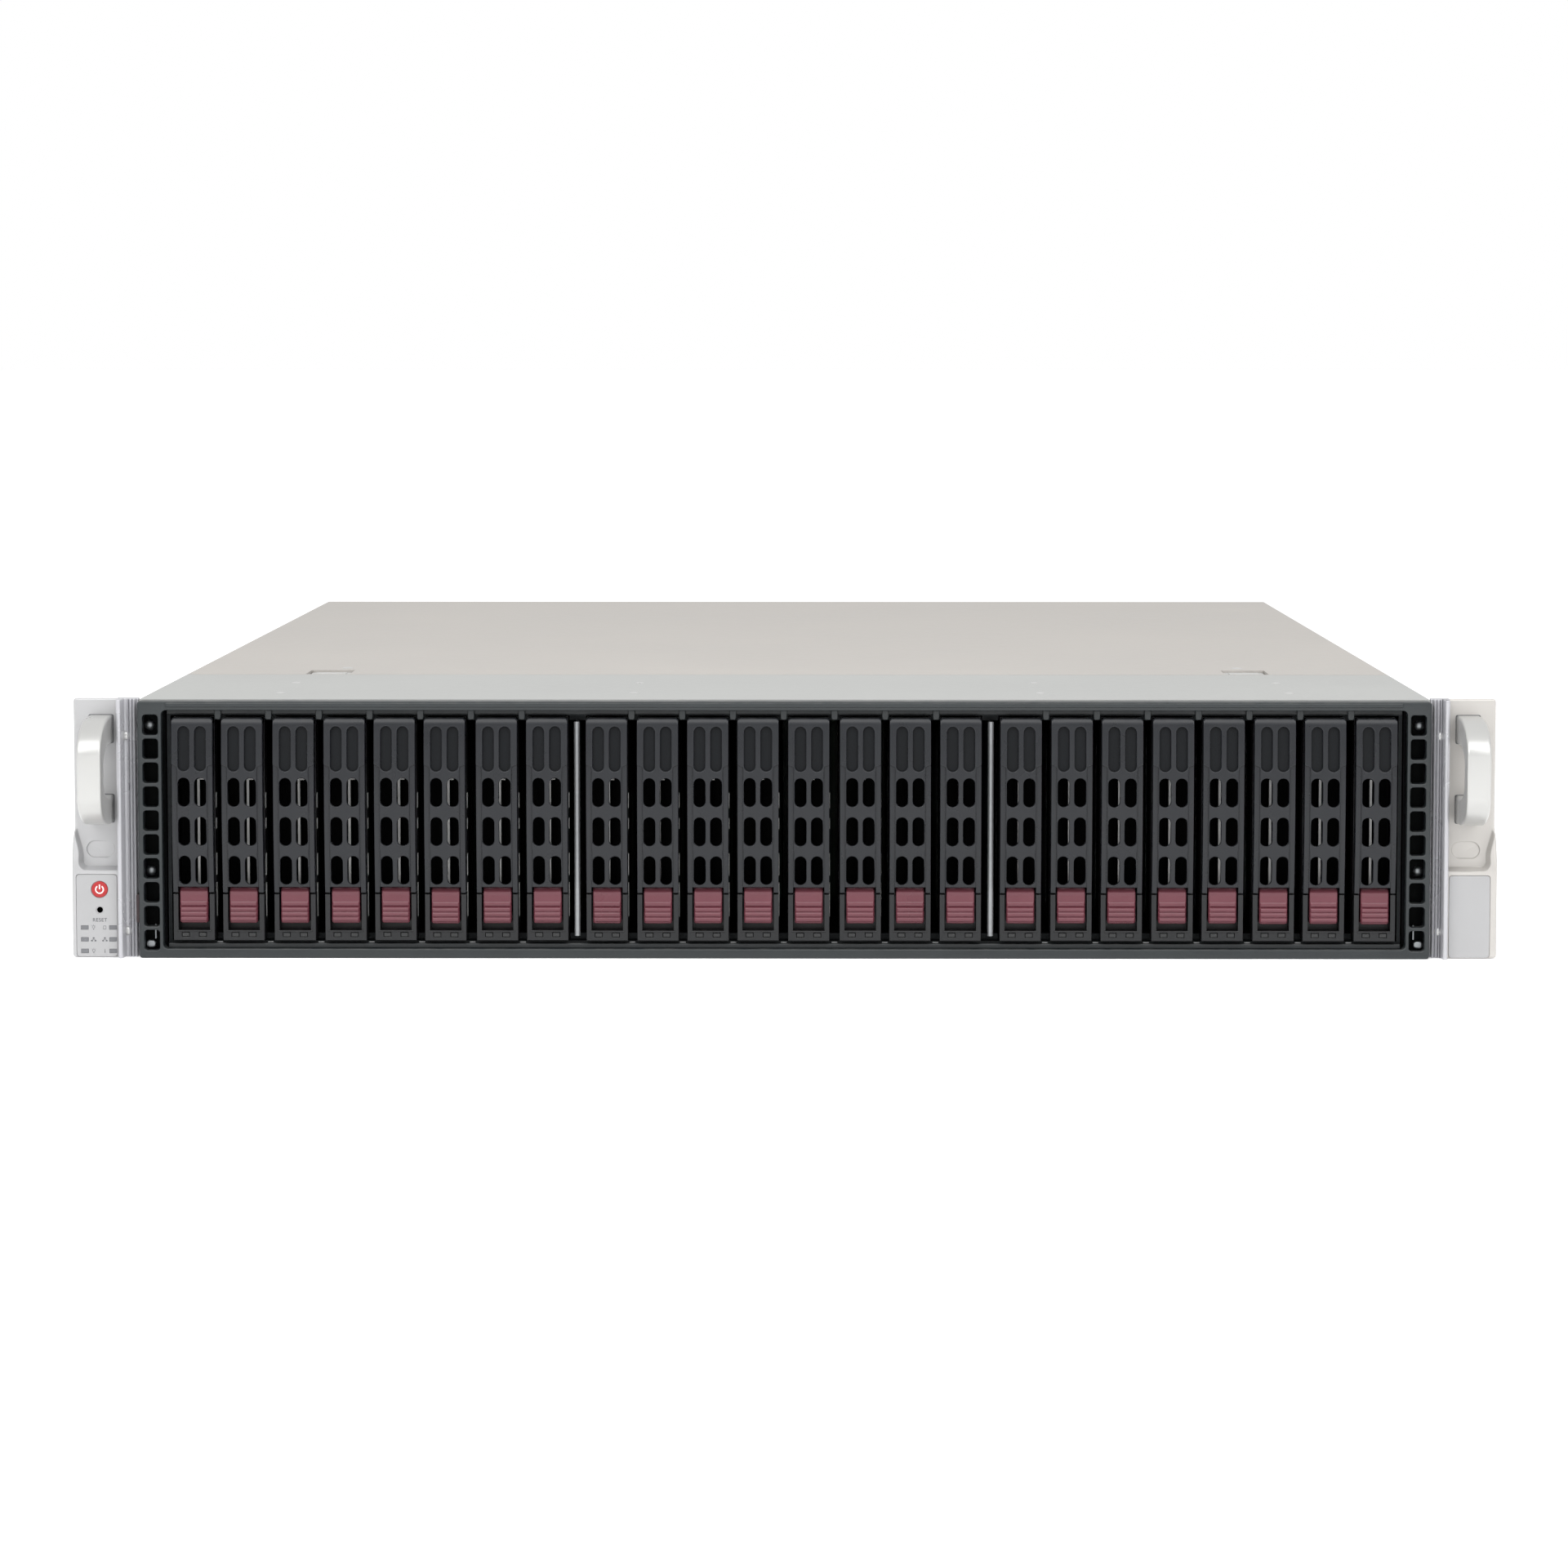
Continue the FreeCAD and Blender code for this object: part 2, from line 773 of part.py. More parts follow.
# ------------------------------------------------------------ drive cage
def make_cage():
    """Sheet cage with guides that the tray rails run between."""
    depth = ("frame_rear", "board_front")
    wide = ("-cage_half", "cage_half")
    floor = block("cage_floor_sheet", wide, depth,
                  ("cage_floor", "cage_floor + 1"))
    roof = block("cage_roof_sheet", wide, depth,
                 ("cage_roof", "cage_roof + 1"))
    lip = ("frame_rear", "frame_rear + 1")
    parts = [floor, roof,
             block("cage_low_lip", wide, lip, ("sheet_gauge", "cage_floor")),
             block("cage_high_lip", wide, lip,
                   ("cage_roof + 1", "chassis_height - sheet_gauge"))]
    for side in (-1, 1):
        word = "left" if side < 0 else "right"
        low = "-cage_half" if side < 0 else "cage_half - sheet_gauge"
        parts.append(block(f"cage_{word}_side",
                           (low, f"{low} + sheet_gauge"), depth,
                           ("cage_floor + 1", "cage_roof")))
    run = ("bezel_rear + slide_gap", "drive_rear - 10")
    for bay in range(1, BANKS * BAYS):
        middle = f"(({bay_x(bay)} + {bay_x(bay + 1)}) / 2)"
        width = "(bay_pitch - rail_width - 2 * slide_gap)"
        parts.append(block(f"guide_low_{bay}", around(middle, width), run,
                           ("cage_floor + 1", "cage_floor + 1 + guide_depth")))
        parts.append(block(f"guide_high_{bay}", around(middle, width), run,
                           ("cage_roof - guide_depth", "cage_roof")))
    return fuse("cage", parts)


keep("drive_cage", make_cage())


def make_dividers():
    """Upright sheets between the banks, with a bead along the front."""
    solids = []
    for side in (-1, 1):
        middle = f"({side} * bank_pitch / 2)"
        word = "left" if side < 0 else "right"
        high = ("cage_floor + 1 + guide_depth", "cage_roof - guide_depth")
        panel = block(f"divider_{word}_sheet",
                      around(middle, "divider_thick"),
                      ("face + 4", "drive_rear"), high)
        bead = rod(f"divider_{word}_bead", "z", "divider_bead / 2",
                   (middle, "face + 4", high[0]),
                   f"({high[1]}) - ({high[0]})")
        solids.append(fuse(f"divider_{word}", [panel, bead]))
    return group("dividers", solids)


keep("bank_dividers", make_dividers())


def make_backplane():
    """Upright circuit board with one connector and air slots per bay."""
    board = block("drive_board", ("-cage_half", "cage_half"),
                  ("board_front", "board_front + board_thick"),
                  ("cage_floor", "cage_roof"))
    slots, sockets = [], []
    middle = "((tray_floor + tray_top) / 2)"
    for bay in range(1, BANKS * BAYS + 1):
        span = around(bay_x(bay), "board_slot_width")
        low = f"({middle} - socket_height / 2 - board_slot_height)"
        if bay % 2:
            through = ("board_front - 1", "board_front + board_thick + 1")
            slots.append(block(f"board_slot_{bay}", span, through,
                               (low, f"{low} + board_slot_height - 2")))
        sockets.append(block(f"drive_socket_{bay}",
                             around(bay_x(bay), "socket_width"),
                             ("board_front - socket_depth", "board_front"),
                             around(middle, "socket_height")))
    return group("backplane_set", [cut("slotted_board", board, slots)]
                 + sockets)


keep("backplane", make_backplane())


# ------------------------------------------------------- ears and handles
def make_ear(name):
    """Right-hand ear: panel, ridge, groove, control box, scoop and fin."""
    section = [("ear_in - 0.7", "0"), ("ear_out", "0"),
               ("ear_out", "-ear_thick"), ("ridge_out", "-ear_thick"),
               ("ridge_out", "0.6 - ridge_lead"),
               ("ridge_out - 0.5", "-ridge_lead"),
               ("ridge_in + 0.5", "-ridge_lead"),
               ("ridge_in", "0.6 - ridge_lead"),
               ("ridge_in - groove_slope", "-groove_lead"),
               ("ear_in + 3 * flute_width", "-groove_lead"),
               ("ear_in + 3 * flute_width", "-groove_lead - flute_height"),
               ("ear_in + 2 * flute_width", "-groove_lead - flute_height"),
               ("ear_in + 2 * flute_width", "-groove_lead"),
               ("ear_in", "-groove_lead"), ("ear_in", "-ear_thick"),
               ("ear_in - 0.7", "-ear_thick")]
    body = new_body(name + "_body")
    top = "ear_height"
    pad(body, name + "_section", "XY_Plane", section, "0", top)

    def top_corner(edge):
        box = edge.BoundBox
        spot = abs(box.Center.x - value("ear_out")) < 0.01
        along = box.YLength > value("ear_thick") - 0.01
        return (spot and along and box.ZLength < 0.01
                and abs(box.Center.z - value(top)) < 0.01)

    body.Tip = bevel(body, name + "_corner", top_corner, "ear_corner",
                     "PartDesign::Fillet")
    box_top = "(control_foot + control_height)"
    lead = ("-control_lead", "-ear_thick")
    plate = ("ridge_out", "ear_out")
    control = block(name + "_control", plate, lead, ("control_foot", box_top))
    slope = block(name + "_slope", plate, lead,
                  (box_top, f"{box_top} + scoop_radius"))
    hollow = rod(name + "_hollow", "x", "scoop_radius",
                 ("ridge_out - 1", "-ear_thick - scoop_radius",
                  f"{box_top} + scoop_radius"), "panel_width + 2")
    scoop = cut(name + "_scoop", slope, [hollow])
    fin = new_body(name + "_fin")
    drop = "(fin_top - control_foot - control_height)"
    points = [("-ear_thick", box_top), ("-ear_thick", "fin_top"),
              ("-control_lead + 3.2", f"fin_top - 0.16 * {drop}"),
              ("-control_lead + 1.2", f"fin_top - 0.42 * {drop}"),
              ("-control_lead + 0.2", f"fin_top - 0.72 * {drop}"),
              ("-control_lead", box_top)]
    pad(fin, name + "_fin_pad", "YZ_Plane", points,
        "ear_out - fin_width", "ear_out")
    tongue = block(name + "_tongue", ("tub_half", "ear_in - 0.7"),
                   ("-ear_thick", "0"),
                   ("flange_foot", "flange_foot + flange_height"))
    flange = block(name + "_flange", ("tub_half", "tub_half + sheet_gauge"),
                   ("0", "flange_length"),
                   ("flange_foot", "flange_foot + flange_height"))
    whole = fuse(name + "_fused", [body, control, scoop, fin, tongue, flange])
    half_span = "(oval_width - oval_height) / 2"
    oval_y = "-ear_thick + oval_depth"
    tools = [block(name + "_oval", around("oval_x", "oval_width - oval_height"),
                   ("-ear_thick - 1", oval_y),
                   around("oval_z", "oval_height"))]
    for side in (-1, 1):
        tools.append(rod(f"{name}_oval_end_{side + 1}", "y", "oval_height / 2",
                         (f"oval_x + {side} * {half_span}",
                          "-ear_thick - 1", "oval_z"), "1 + oval_depth"))
    tools.append(block(name + "_label",
                       around("(ear_out + ridge_out) / 2", "label_width"),
                       ("-control_lead - 1", "label_sink - control_lead"),
                       ("control_foot + 0.7", f"{box_top} - 0.7")))
    for at in ("handle_foot", "handle_foot + handle_height - handle_root"):
        tools.append(block(name + "_seat", around(
            "handle_x", "handle_width + 2 * root_margin"),
            ("-ear_thick - 1", "root_sink - ear_thick"),
            (f"{at} - root_margin", f"{at} + handle_root + root_margin")))
    return whole, tools


def lamp_places():
    for column in (-1, 1):
        for row in range(3):
            yield column, row


def make_control_tools():
    """Bores for the two buttons and pockets for the six lamps."""
    depth = "button_length + power_travel + 0.2"
    front = "(label_sink - control_lead)"
    bores = [rod("power_bore", "y", "power_radius + 0.3",
                 ("power_x", "-control_lead - 1", "power_z"), f"1 + {depth}"),
             rod("reset_bore", "y", "reset_radius + 0.3",
                 ("power_x", "-control_lead - 1", "reset_z"), f"1 + {depth}")]
    lamps = []
    for column, row in lamp_places():
        x = around(f"lamp_x + {column} * lamp_spread / 2", "lamp_width")
        z = around(f"lamp_foot + 1 + {row} * lamp_pitch", "lamp_height")
        lamps.append(block(f"lamp_{column + 1}_{row}", x,
                           (front, f"{front} + lamp_depth"), z))
    return bores, lamps


right_ear, right_tools = make_ear("right_ear")
keep("right_ear", cut("right_ear_cut", right_ear, right_tools))
left_ear, left_tools = make_ear("left_ear")
control_bores, control_lamps = make_control_tools()
left_cut = cut("left_ear_cut", left_ear,
               left_tools + control_bores + control_lamps)
keep("left_ear", mirrored("left_ear_turned", left_cut))
lamps = group("lamps", control_lamps)
keep("indicator_lamps", mirrored("lamps_turned", lamps))


def make_push_button(name, radius, height):
    front = "(label_sink - control_lead - 0.5)"
    pin = rod(name + "_pin", "y", radius, ("power_x", front, height),
              "button_length")
    return mirrored(name + "_turned", pin)


keep("power_button", make_push_button("power", "power_radius", "power_z"))
keep("reset_button", make_push_button("reset", "reset_radius", "reset_z"))


def make_handle():
    """Bow handle: a rounded band standing on two roots."""
    body = new_body("handle_body")
    base = "(root_sink - ear_thick)"
    nose = "(-ear_thick - handle_reach)"
    low, high = "handle_foot", "(handle_foot + handle_height)"
    pad(body, "handle_block", "YZ_Plane",
        rectangle((nose, base), (low, high)),
        "handle_x - handle_width / 2", "handle_x + handle_width / 2")

    def nose_edge(edge):
        box = edge.BoundBox
        return (box.XLength > value("handle_width") - 0.01
                and abs(box.Center.y - value(nose)) < 0.01)

    body.Tip = bevel(body, "handle_round", nose_edge, "handle_corner",
                     "PartDesign::Fillet")

    radius = "(handle_height / 2 - handle_root)"
    middle = "(handle_foot + handle_height / 2)"
    inner = f"({nose} + handle_band + {radius})"
    gap = [block("handle_gap", around("handle_x", "handle_width + 2"),
                 (inner, f"{base} + 1"),
                 (f"{middle} - {radius}", f"{middle} + {radius}")),
           rod("handle_arch", "x", radius,
               ("handle_x - handle_width / 2 - 1", inner, middle),
               "handle_width + 2")]
    return cut("handle_bow", body, gap)


bow = make_handle()
keep("right_handle", bow)
keep("left_handle", mirrored("left_handle_turned", bow))


# ------------------------------------------------------------------ fans
def fan_x(fan):
    return f"(({fan} - ({FANS} - 1) / 2) * fan_pitch)"


def make_fan_frames():
    """Square frames with a round duct and a four-arm hub carrier."""
    solids = []
    depth = ("fan_front", "fan_front + fan_depth")
    for fan in range(FANS):
        x = fan_x(fan)
        hull = block(f"fan_hull_{fan}", around(x, "fan_size"), depth,
                     around("fan_mid_z", "fan_size"))
        duct = drum(f"fan_duct_{fan}", 16, "fan_bore / 2",
                   (x, "fan_front - 1", "fan_mid_z"), "fan_depth + 2")
        spider = ("fan_front + fan_depth - spider_depth",
                  "fan_front + fan_depth")
        arms = [block(f"fan_arm_flat_{fan}", around(x, "fan_size - 2"),
                      spider, around("fan_mid_z", "spider_width")),
                block(f"fan_arm_tall_{fan}", around(x, "spider_width"),
                      spider, around("fan_mid_z", "fan_size - 2")),
                drum(f"fan_motor_{fan}", 12, "hub_radius",
                     (x, "fan_front + hub_setback + hub_length + slide_gap",
                      "fan_mid_z"),
                     "fan_depth - hub_setback - hub_length - slide_gap")]
        ring = cut(f"fan_ring_{fan}", hull, [duct])
        solids.append(fuse(f"fan_frame_{fan}", [ring] + arms))
    return solids


def make_rotor(fan):
    """Hub cup with blades set across the air stream."""
    x = fan_x(fan)
    start = "(fan_front + hub_setback)"
    hub = drum(f"hub_{fan}", 20, "hub_radius", (x, start, "fan_mid_z"),
               "hub_length")
    spindle = rod(f"spindle_{fan}", "y", "spindle_radius",
                  (x, f"{start} - spindle_proud", "fan_mid_z"),
                  "spindle_proud")
    blades = []
    for blade in range(BLADES):
        wing = doc.addObject("Part::Box", f"blade_{fan}_{blade}")
        wing.setExpression("Length", tied("blade_reach - hub_radius + 2"))
        wing.setExpression("Width", tied("blade_chord"))
        wing.setExpression("Height", tied("blade_thick"))
        turn = Rotation(Vector(0, 1, 0), 360 / BLADES * blade)
        pitch = Rotation(Vector(1, 0, 0), 35)
        reach = value("hub_radius") - 2
        middle = Vector(reach, -value("blade_chord") / 2,
                        -value("blade_thick") / 2)
        spin = turn.multiply(pitch)
        shift = turn.multVec(Vector(reach, 0, 0))
        local = pitch.multVec(Vector(0, middle.y, middle.z))
        shift = shift + turn.multVec(local)
        wing.Placement = FreeCAD.Placement(shift, spin)
        blades.append(wing)
    wings = fuse(f"wings_{fan}", blades)
    place(wings, x, f"{start} + hub_length / 2", "fan_mid_z")
    return fuse(f"rotor_{fan}", [hub, spindle, wings])


for fan in range(FANS):
    keep(f"fan_rotor_{fan + 1}", make_rotor(fan))


def make_fan_wall():
    """Cross wall with a window behind each fan."""
    wall = block("fan_wall_sheet",
                 ("-tub_half + sheet_gauge", "tub_half - sheet_gauge"),
                 ("fan_front + fan_depth", "fan_front + fan_depth + wall_gauge"),
                 ("sheet_gauge", "tub_top - sheet_gauge - 1"))
    windows = [drum(f"fan_window_{fan}", 16, "fan_bore / 2 - 2",
                    (fan_x(fan), "fan_front + fan_depth - 1", "fan_mid_z"),
                    "wall_gauge + 2") for fan in range(FANS)]
    return cut("fan_wall_cut", wall, windows)


fan_set = [make_fan_wall()] + make_fan_frames()
keep("fan_wall", group("fan_wall_set", fan_set))

# ------------------------------------------------------------------ rear
PSU_NAMES = ("lower", "upper")


def psu_foot(unit):
    return f"(psu_lift + {unit} * psu_step)"


def make_psu(name, unit):
    """Sealed power supply with an inlet socket and vent slots behind."""
    low = psu_foot(unit)
    end = "(rear + psu_proud)"
    hull = block(f"psu_{name}_hull", ("psu_left", "psu_left + psu_width"),
                 (f"{end} - psu_length", end), (low, f"{low} + psu_height"))
    middle = f"({low} + psu_height / 2)"
    tools = [block(f"psu_{name}_inlet",
                   around("psu_left + inlet_x", "inlet_width"),
                   (f"{end} - inlet_depth", f"{end} + 1"),
                   around(middle, "inlet_height"))]
    for slot in range(PSU_SLOTS):
        x = (f"psu_left + inlet_x + inlet_width / 2 + psu_slot_pitch"
             f" * ({slot} + 0.5)")
        tools.append(block(f"psu_{name}_slot_{slot}",
                           around(x, "psu_slot_width"),
                           (f"{end} - psu_slot_depth", f"{end} + 1"),
                           around(middle, "psu_slot_height")))
    return cut(f"psu_{name}_cut", hull, tools)


def make_grip(name, unit):
    """Fixed loop handle of a power supply, standing out to the rear."""
    low = psu_foot(unit)
    end = "(rear + psu_proud)"
    x = "(psu_left + grip_x)"
    z = f"({low} + grip_z)"
    body = new_body(f"grip_{name}_body")
    outer = rectangle((x, f"{x} + grip_width"),
                      (end, f"{end} + grip_reach"))
    inner = rectangle((f"{x} + grip_bar", f"{x} + grip_width - grip_bar"),
                      (f"{end} - 1", f"{end} + grip_reach - grip_bar"))
    pad(body, f"grip_{name}_pad", "XY_Plane", outer, z, f"{z} + grip_bar")
    pocket(body, f"grip_{name}_gap", "XY_Plane", [inner],
           f"{z} - 1", f"{z} + grip_bar + 1")
    return body


def make_trigger(name, unit):
    """Spring latch beside the handle; pressed sideways to free the unit."""
    low = psu_foot(unit)
    end = "(rear + psu_proud + slide_gap)"
    x = "(psu_left + trigger_x)"
    z = f"({low} + psu_height / 2)"
    return block(f"trigger_{name}_block", (x, f"{x} + trigger_width"),
                 (end, f"{end} + trigger_reach"),
                 around(z, "trigger_height"))


for unit, name in enumerate(PSU_NAMES):
    keep(f"power_supply_{name}", make_psu(name, unit))
    keep(f"psu_handle_{name}", make_grip(name, unit))
    keep(f"psu_latch_{name}", make_trigger(name, unit))


def make_distributor():
    """Power distribution housing that the supplies plug into."""
    end = "(rear + psu_proud - psu_length - slide_gap)"
    return block("distributor_block", ("psu_left", "psu_left + psu_width"),
                 (f"{end} - distributor_length", end),
                 ("sheet_gauge", "psu_lift + psu_step + psu_height"))


keep("power_distributor", make_distributor())


def port_x(port):
    return f"(port_first_x + {port} * port_pitch)"


def make_expander():
    """Expander board on standoffs, with a heatsink on its main chip."""
    board_end = "(rear - sheet_gauge - 1)"
    start = f"({board_end} - board_length)"
    x = ("board_left", "board_left + board_width")
    z = "(sheet_gauge + board_lift)"
    board = block("expander_sheet", x, (start, board_end),
                  (z, f"{z} + board_thick"))
    legs = []
    for u in ("board_left + 6", "board_left + board_width - 6"):
        for v in (f"{start} + 6", f"{board_end} - 60"):
            legs.append(block("standoff", around(u, "standoff_width"),
                              around(v, "standoff_width"),
                              ("sheet_gauge", z)))
    sink_x = "(board_left + board_width * 0.6)"
    sink_y = f"({start} + board_length * 0.35)"
    base = f"({z} + board_thick)"
    sink = [block("sink_base", around(sink_x, "sink_width"),
                  around(sink_y, "sink_width"), (base, f"{base} + 4"))]
    for fin in range(SINK_FINS):
        step = f"({fin} - ({SINK_FINS} - 1) / 2)"
        span = f"(sink_width / {SINK_FINS} * {step})"
        sink.append(block(f"sink_fin_{fin}",
                          around(f"{sink_x} + {span}", "1.5"),
                          around(sink_y, "sink_width"),
                          (f"{base} + 4", f"{base} + sink_height")))
    return group("expander_set", [board, fuse("sink", sink)] + legs)


keep("expander_board", make_expander())


def make_ports():
    """Shielded port cages that open through the rear panel."""
    z = "(sheet_gauge + board_lift + board_thick)"
    cages = []
    for port in range(PORTS):
        x = around(port_x(port), "port_width")
        shell = block(f"port_{port}_shell", x,
                      ("rear - port_depth", "rear"),
                      (z, f"{z} + port_height"))
        mouth = block(f"port_{port}_mouth",
                      around(port_x(port), "port_width - 2"),
                      ("rear - port_mouth_depth", "rear + 1"),
                      (f"{z} + 1", f"{z} + port_height - 1"))
        cages.append(cut(f"port_{port}", shell, [mouth]))
    x = "lan_x"
    shell = block("lan_shell", around(x, "lan_width"),
                  ("rear - lan_depth", "rear"), (z, f"{z} + lan_height"))
    mouth = block("lan_mouth", around(x, "lan_width - 3"),
                  ("rear - lan_depth + 2", "rear + 1"),
                  (f"{z} + 2", f"{z} + lan_height - 2"))
    cages.append(cut("lan", shell, [mouth]))
    return group("ports", cages)


keep("io_ports", make_ports())


def make_rear_panel():
    """Rear wall with supply bays, port windows and tall vent slots."""
    panel = block("rear_sheet", ("-tub_half", "tub_half"),
                  ("rear - sheet_gauge", "rear"), ("0", "tub_top"))
    through = ("rear - sheet_gauge - 1", "rear + 1")
    z = "(sheet_gauge + board_lift + board_thick)"
    tools = [block("supply_bay",
                   ("psu_left - slide_gap", "psu_left + psu_width + slide_gap"),
                   through, ("psu_lift - slide_gap",
                             "psu_lift + psu_step + psu_height + slide_gap"))]
    row = (f"{port_x(0)} - port_width / 2 - window_gap",
           f"{port_x(PORTS - 1)} + port_width / 2 + window_gap")
    tools.append(block("port_window", row, through,
                       (f"{z} - window_gap", f"{z} + port_height + window_gap")))
    tools.append(block("lan_window",
                       around("lan_x", "(lan_width + 2 * window_gap)"), through,
                       (f"{z} - window_gap", f"{z} + lan_height + window_gap")))
    for vent in range(REAR_VENTS):
        x = f"rear_vent_first + {vent} * rear_vent_pitch"
        low = "rear_vent_foot"
        tools.append(block(f"rear_vent_{vent}",
                           around(x, "rear_vent_width"), through,
                           (low, f"{low} + rear_vent_height")))
    return cut("rear_panel_cut", panel, tools)


def make_shelf():
    """Folded shelf that divides the two supply bays."""
    top = "(psu_lift + psu_step - slide_gap)"
    end = "(rear - sheet_gauge)"
    sheet_z = (f"{top} - shelf_gauge", top)
    return block("shelf_sheet", ("psu_left - psu_edge", "psu_left + psu_width"),
                 (f"{end} - psu_length + 6", end), sheet_z)


keep("rear_panel", group("rear_set", [make_rear_panel(), make_shelf()]))


def make_tab(side):
    """Sprung push tab in the cover's latch well."""
    gap = "slide_gap"
    x = around(f"{side} * latch_x", f"(latch_width - 2 * {gap})")
    start = "(panel_end + cover_seam + 2)"
    word = "left" if side < 0 else "right"
    return block(f"tab_{word}", x,
                 (f"{start} + {gap}", f"{start} + latch_length - {gap}"),
                 ("tub_top - latch_drop - sheet_gauge",
                  "chassis_height - 0.5"))


keep("cover_latch_left", make_tab(-1))
keep("cover_latch_right", make_tab(1))

# ------------------------------------------------------------------ write
doc.recompute()
bad = [thing.Name for thing in doc.Objects
       if {"Invalid", "Error"} & set(thing.State)]
if bad:
    raise RuntimeError(f"objects that failed: {bad}")
for thing in PARTS:
    if thing.Shape.isNull() or not thing.Shape.isValid():
        raise RuntimeError(f"{thing.Label} has no valid shape")
os.makedirs("parts", exist_ok=True)
for thing in PARTS:
    thing.Shape.exportStep(f"parts/{thing.Label}.step")
print(len(PARTS), "sub-parts written")
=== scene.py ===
"""Disk shelf enclosure, two rack units high: the visible pieces.

Metres, X to the right seen from the front, Y to the rear, Z up.
Each section is one piece of the shelf, or one group of like pieces.
"""
import math
import random

import bmesh
import bpy
from mathutils import Matrix, Vector


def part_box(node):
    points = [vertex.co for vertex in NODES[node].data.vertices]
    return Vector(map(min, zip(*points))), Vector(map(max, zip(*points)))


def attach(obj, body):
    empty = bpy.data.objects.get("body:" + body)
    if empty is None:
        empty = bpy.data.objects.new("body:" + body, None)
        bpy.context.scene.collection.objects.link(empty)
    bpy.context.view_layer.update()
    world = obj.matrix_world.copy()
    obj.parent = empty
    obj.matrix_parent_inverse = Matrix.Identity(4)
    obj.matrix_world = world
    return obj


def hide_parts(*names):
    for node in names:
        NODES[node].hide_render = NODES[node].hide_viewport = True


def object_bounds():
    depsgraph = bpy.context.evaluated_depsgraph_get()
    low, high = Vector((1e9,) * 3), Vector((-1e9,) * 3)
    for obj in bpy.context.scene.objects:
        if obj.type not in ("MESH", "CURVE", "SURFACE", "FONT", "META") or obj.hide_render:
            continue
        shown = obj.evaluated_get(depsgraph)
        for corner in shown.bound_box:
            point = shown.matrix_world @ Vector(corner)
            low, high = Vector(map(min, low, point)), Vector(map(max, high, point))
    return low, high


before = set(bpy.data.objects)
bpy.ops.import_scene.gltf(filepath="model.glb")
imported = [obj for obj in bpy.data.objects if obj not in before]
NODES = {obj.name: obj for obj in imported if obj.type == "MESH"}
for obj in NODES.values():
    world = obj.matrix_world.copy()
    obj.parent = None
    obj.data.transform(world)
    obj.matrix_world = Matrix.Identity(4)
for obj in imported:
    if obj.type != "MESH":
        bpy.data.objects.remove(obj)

cad_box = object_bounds()
MM = 0.001
WELD = 0.002                     # millimetres between points made one

# ---------------------------------------------------------- front frame
# Moulded frame round the drive bays, black-grey plastic with a strip of
# ten rounded air vents down each side. It snaps over the sheet metal.


def arc(mid_x, mid_z, wide, high, start, finish, steps):
    """Points along an arc; degrees from the right, anticlockwise."""
    turns = [math.radians(start + (finish - start) * k / steps)
             for k in range(steps + 1)]
    return [(mid_x + wide * math.cos(turn), mid_z + high * math.sin(turn))
            for turn in turns]


def rounded(mid_x, mid_z, wide, high, radius, steps=5):
    """Points round a rectangle with rounded corners, anticlockwise."""
    points = []
    quarters = ((1, 1, 0), (-1, 1, 90), (-1, -1, 180), (1, -1, 270))
    for side_x, side_z, start in quarters:
        centre_x = mid_x + side_x * (wide / 2 - radius)
        centre_z = mid_z + side_z * (high / 2 - radius)
        points += arc(centre_x, centre_z, radius, radius,
                      start, start + 90, steps)
    return points


def moulded(outlines, near, far, rim, rim_steps=2):
    """Mesh data of a plate in the XZ plane with eased rims.

    The first outline is the outside and the rest are openings; near and
    far are the plate's two Y places. All in millimetres.
    """
    curve = bpy.data.curves.new("outline", "CURVE")
    curve.dimensions = "2D"
    curve.fill_mode = "BOTH"
    curve.extrude = (far - near) / 2 - rim
    curve.bevel_depth = rim
    curve.bevel_resolution = rim_steps
    curve.offset = -rim
    for number, points in enumerate(outlines):
        ring = points if number == 0 else points[::-1]
        spline = curve.splines.new("POLY")
        spline.points.add(len(ring) - 1)
        for point, (across, up) in zip(spline.points, ring):
            point.co = (across, up, 0, 1)
        spline.use_cyclic_u = True
    holder = bpy.data.objects.new("outline", curve)
    mesh = bpy.data.meshes.new_from_object(holder)
    bpy.data.objects.remove(holder)
    bpy.data.curves.remove(curve)
    middle = (near + far) / 2
    for vertex in mesh.vertices:
        across, up, deep = vertex.co
        vertex.co = (across, middle - deep, up)
    return mesh


def taken(work, name):
    """The finished mesh of a bmesh, which is freed."""
    mesh = bpy.data.meshes.new(name)
    work.to_mesh(mesh)
    work.free()
    return mesh


def joined(groups, name="joined", weld=0.0):
    """Mesh data in metres from lists of meshes, one material per list."""
    work = bmesh.new()
    for number, meshes in enumerate(groups):
        for mesh in meshes:
            before = len(work.faces)
            work.from_mesh(mesh)
            work.faces.ensure_lookup_table()
            for face in work.faces[before:]:
                face.material_index = number
    if weld:
        bmesh.ops.remove_doubles(work, verts=work.verts, dist=weld)
    bmesh.ops.scale(work, vec=(MM, MM, MM), verts=work.verts)
    return taken(work, name)


def solid(name, meshes, body, materials, nodes=()):
    """One welded piece; the last material takes all meshes left over."""
    first = len(materials) - 1
    groups = [[mesh] for mesh in meshes[:first]] + [meshes[first:]]
    return dress(name, joined(groups, name, WELD), body, materials,
                 nodes=nodes)


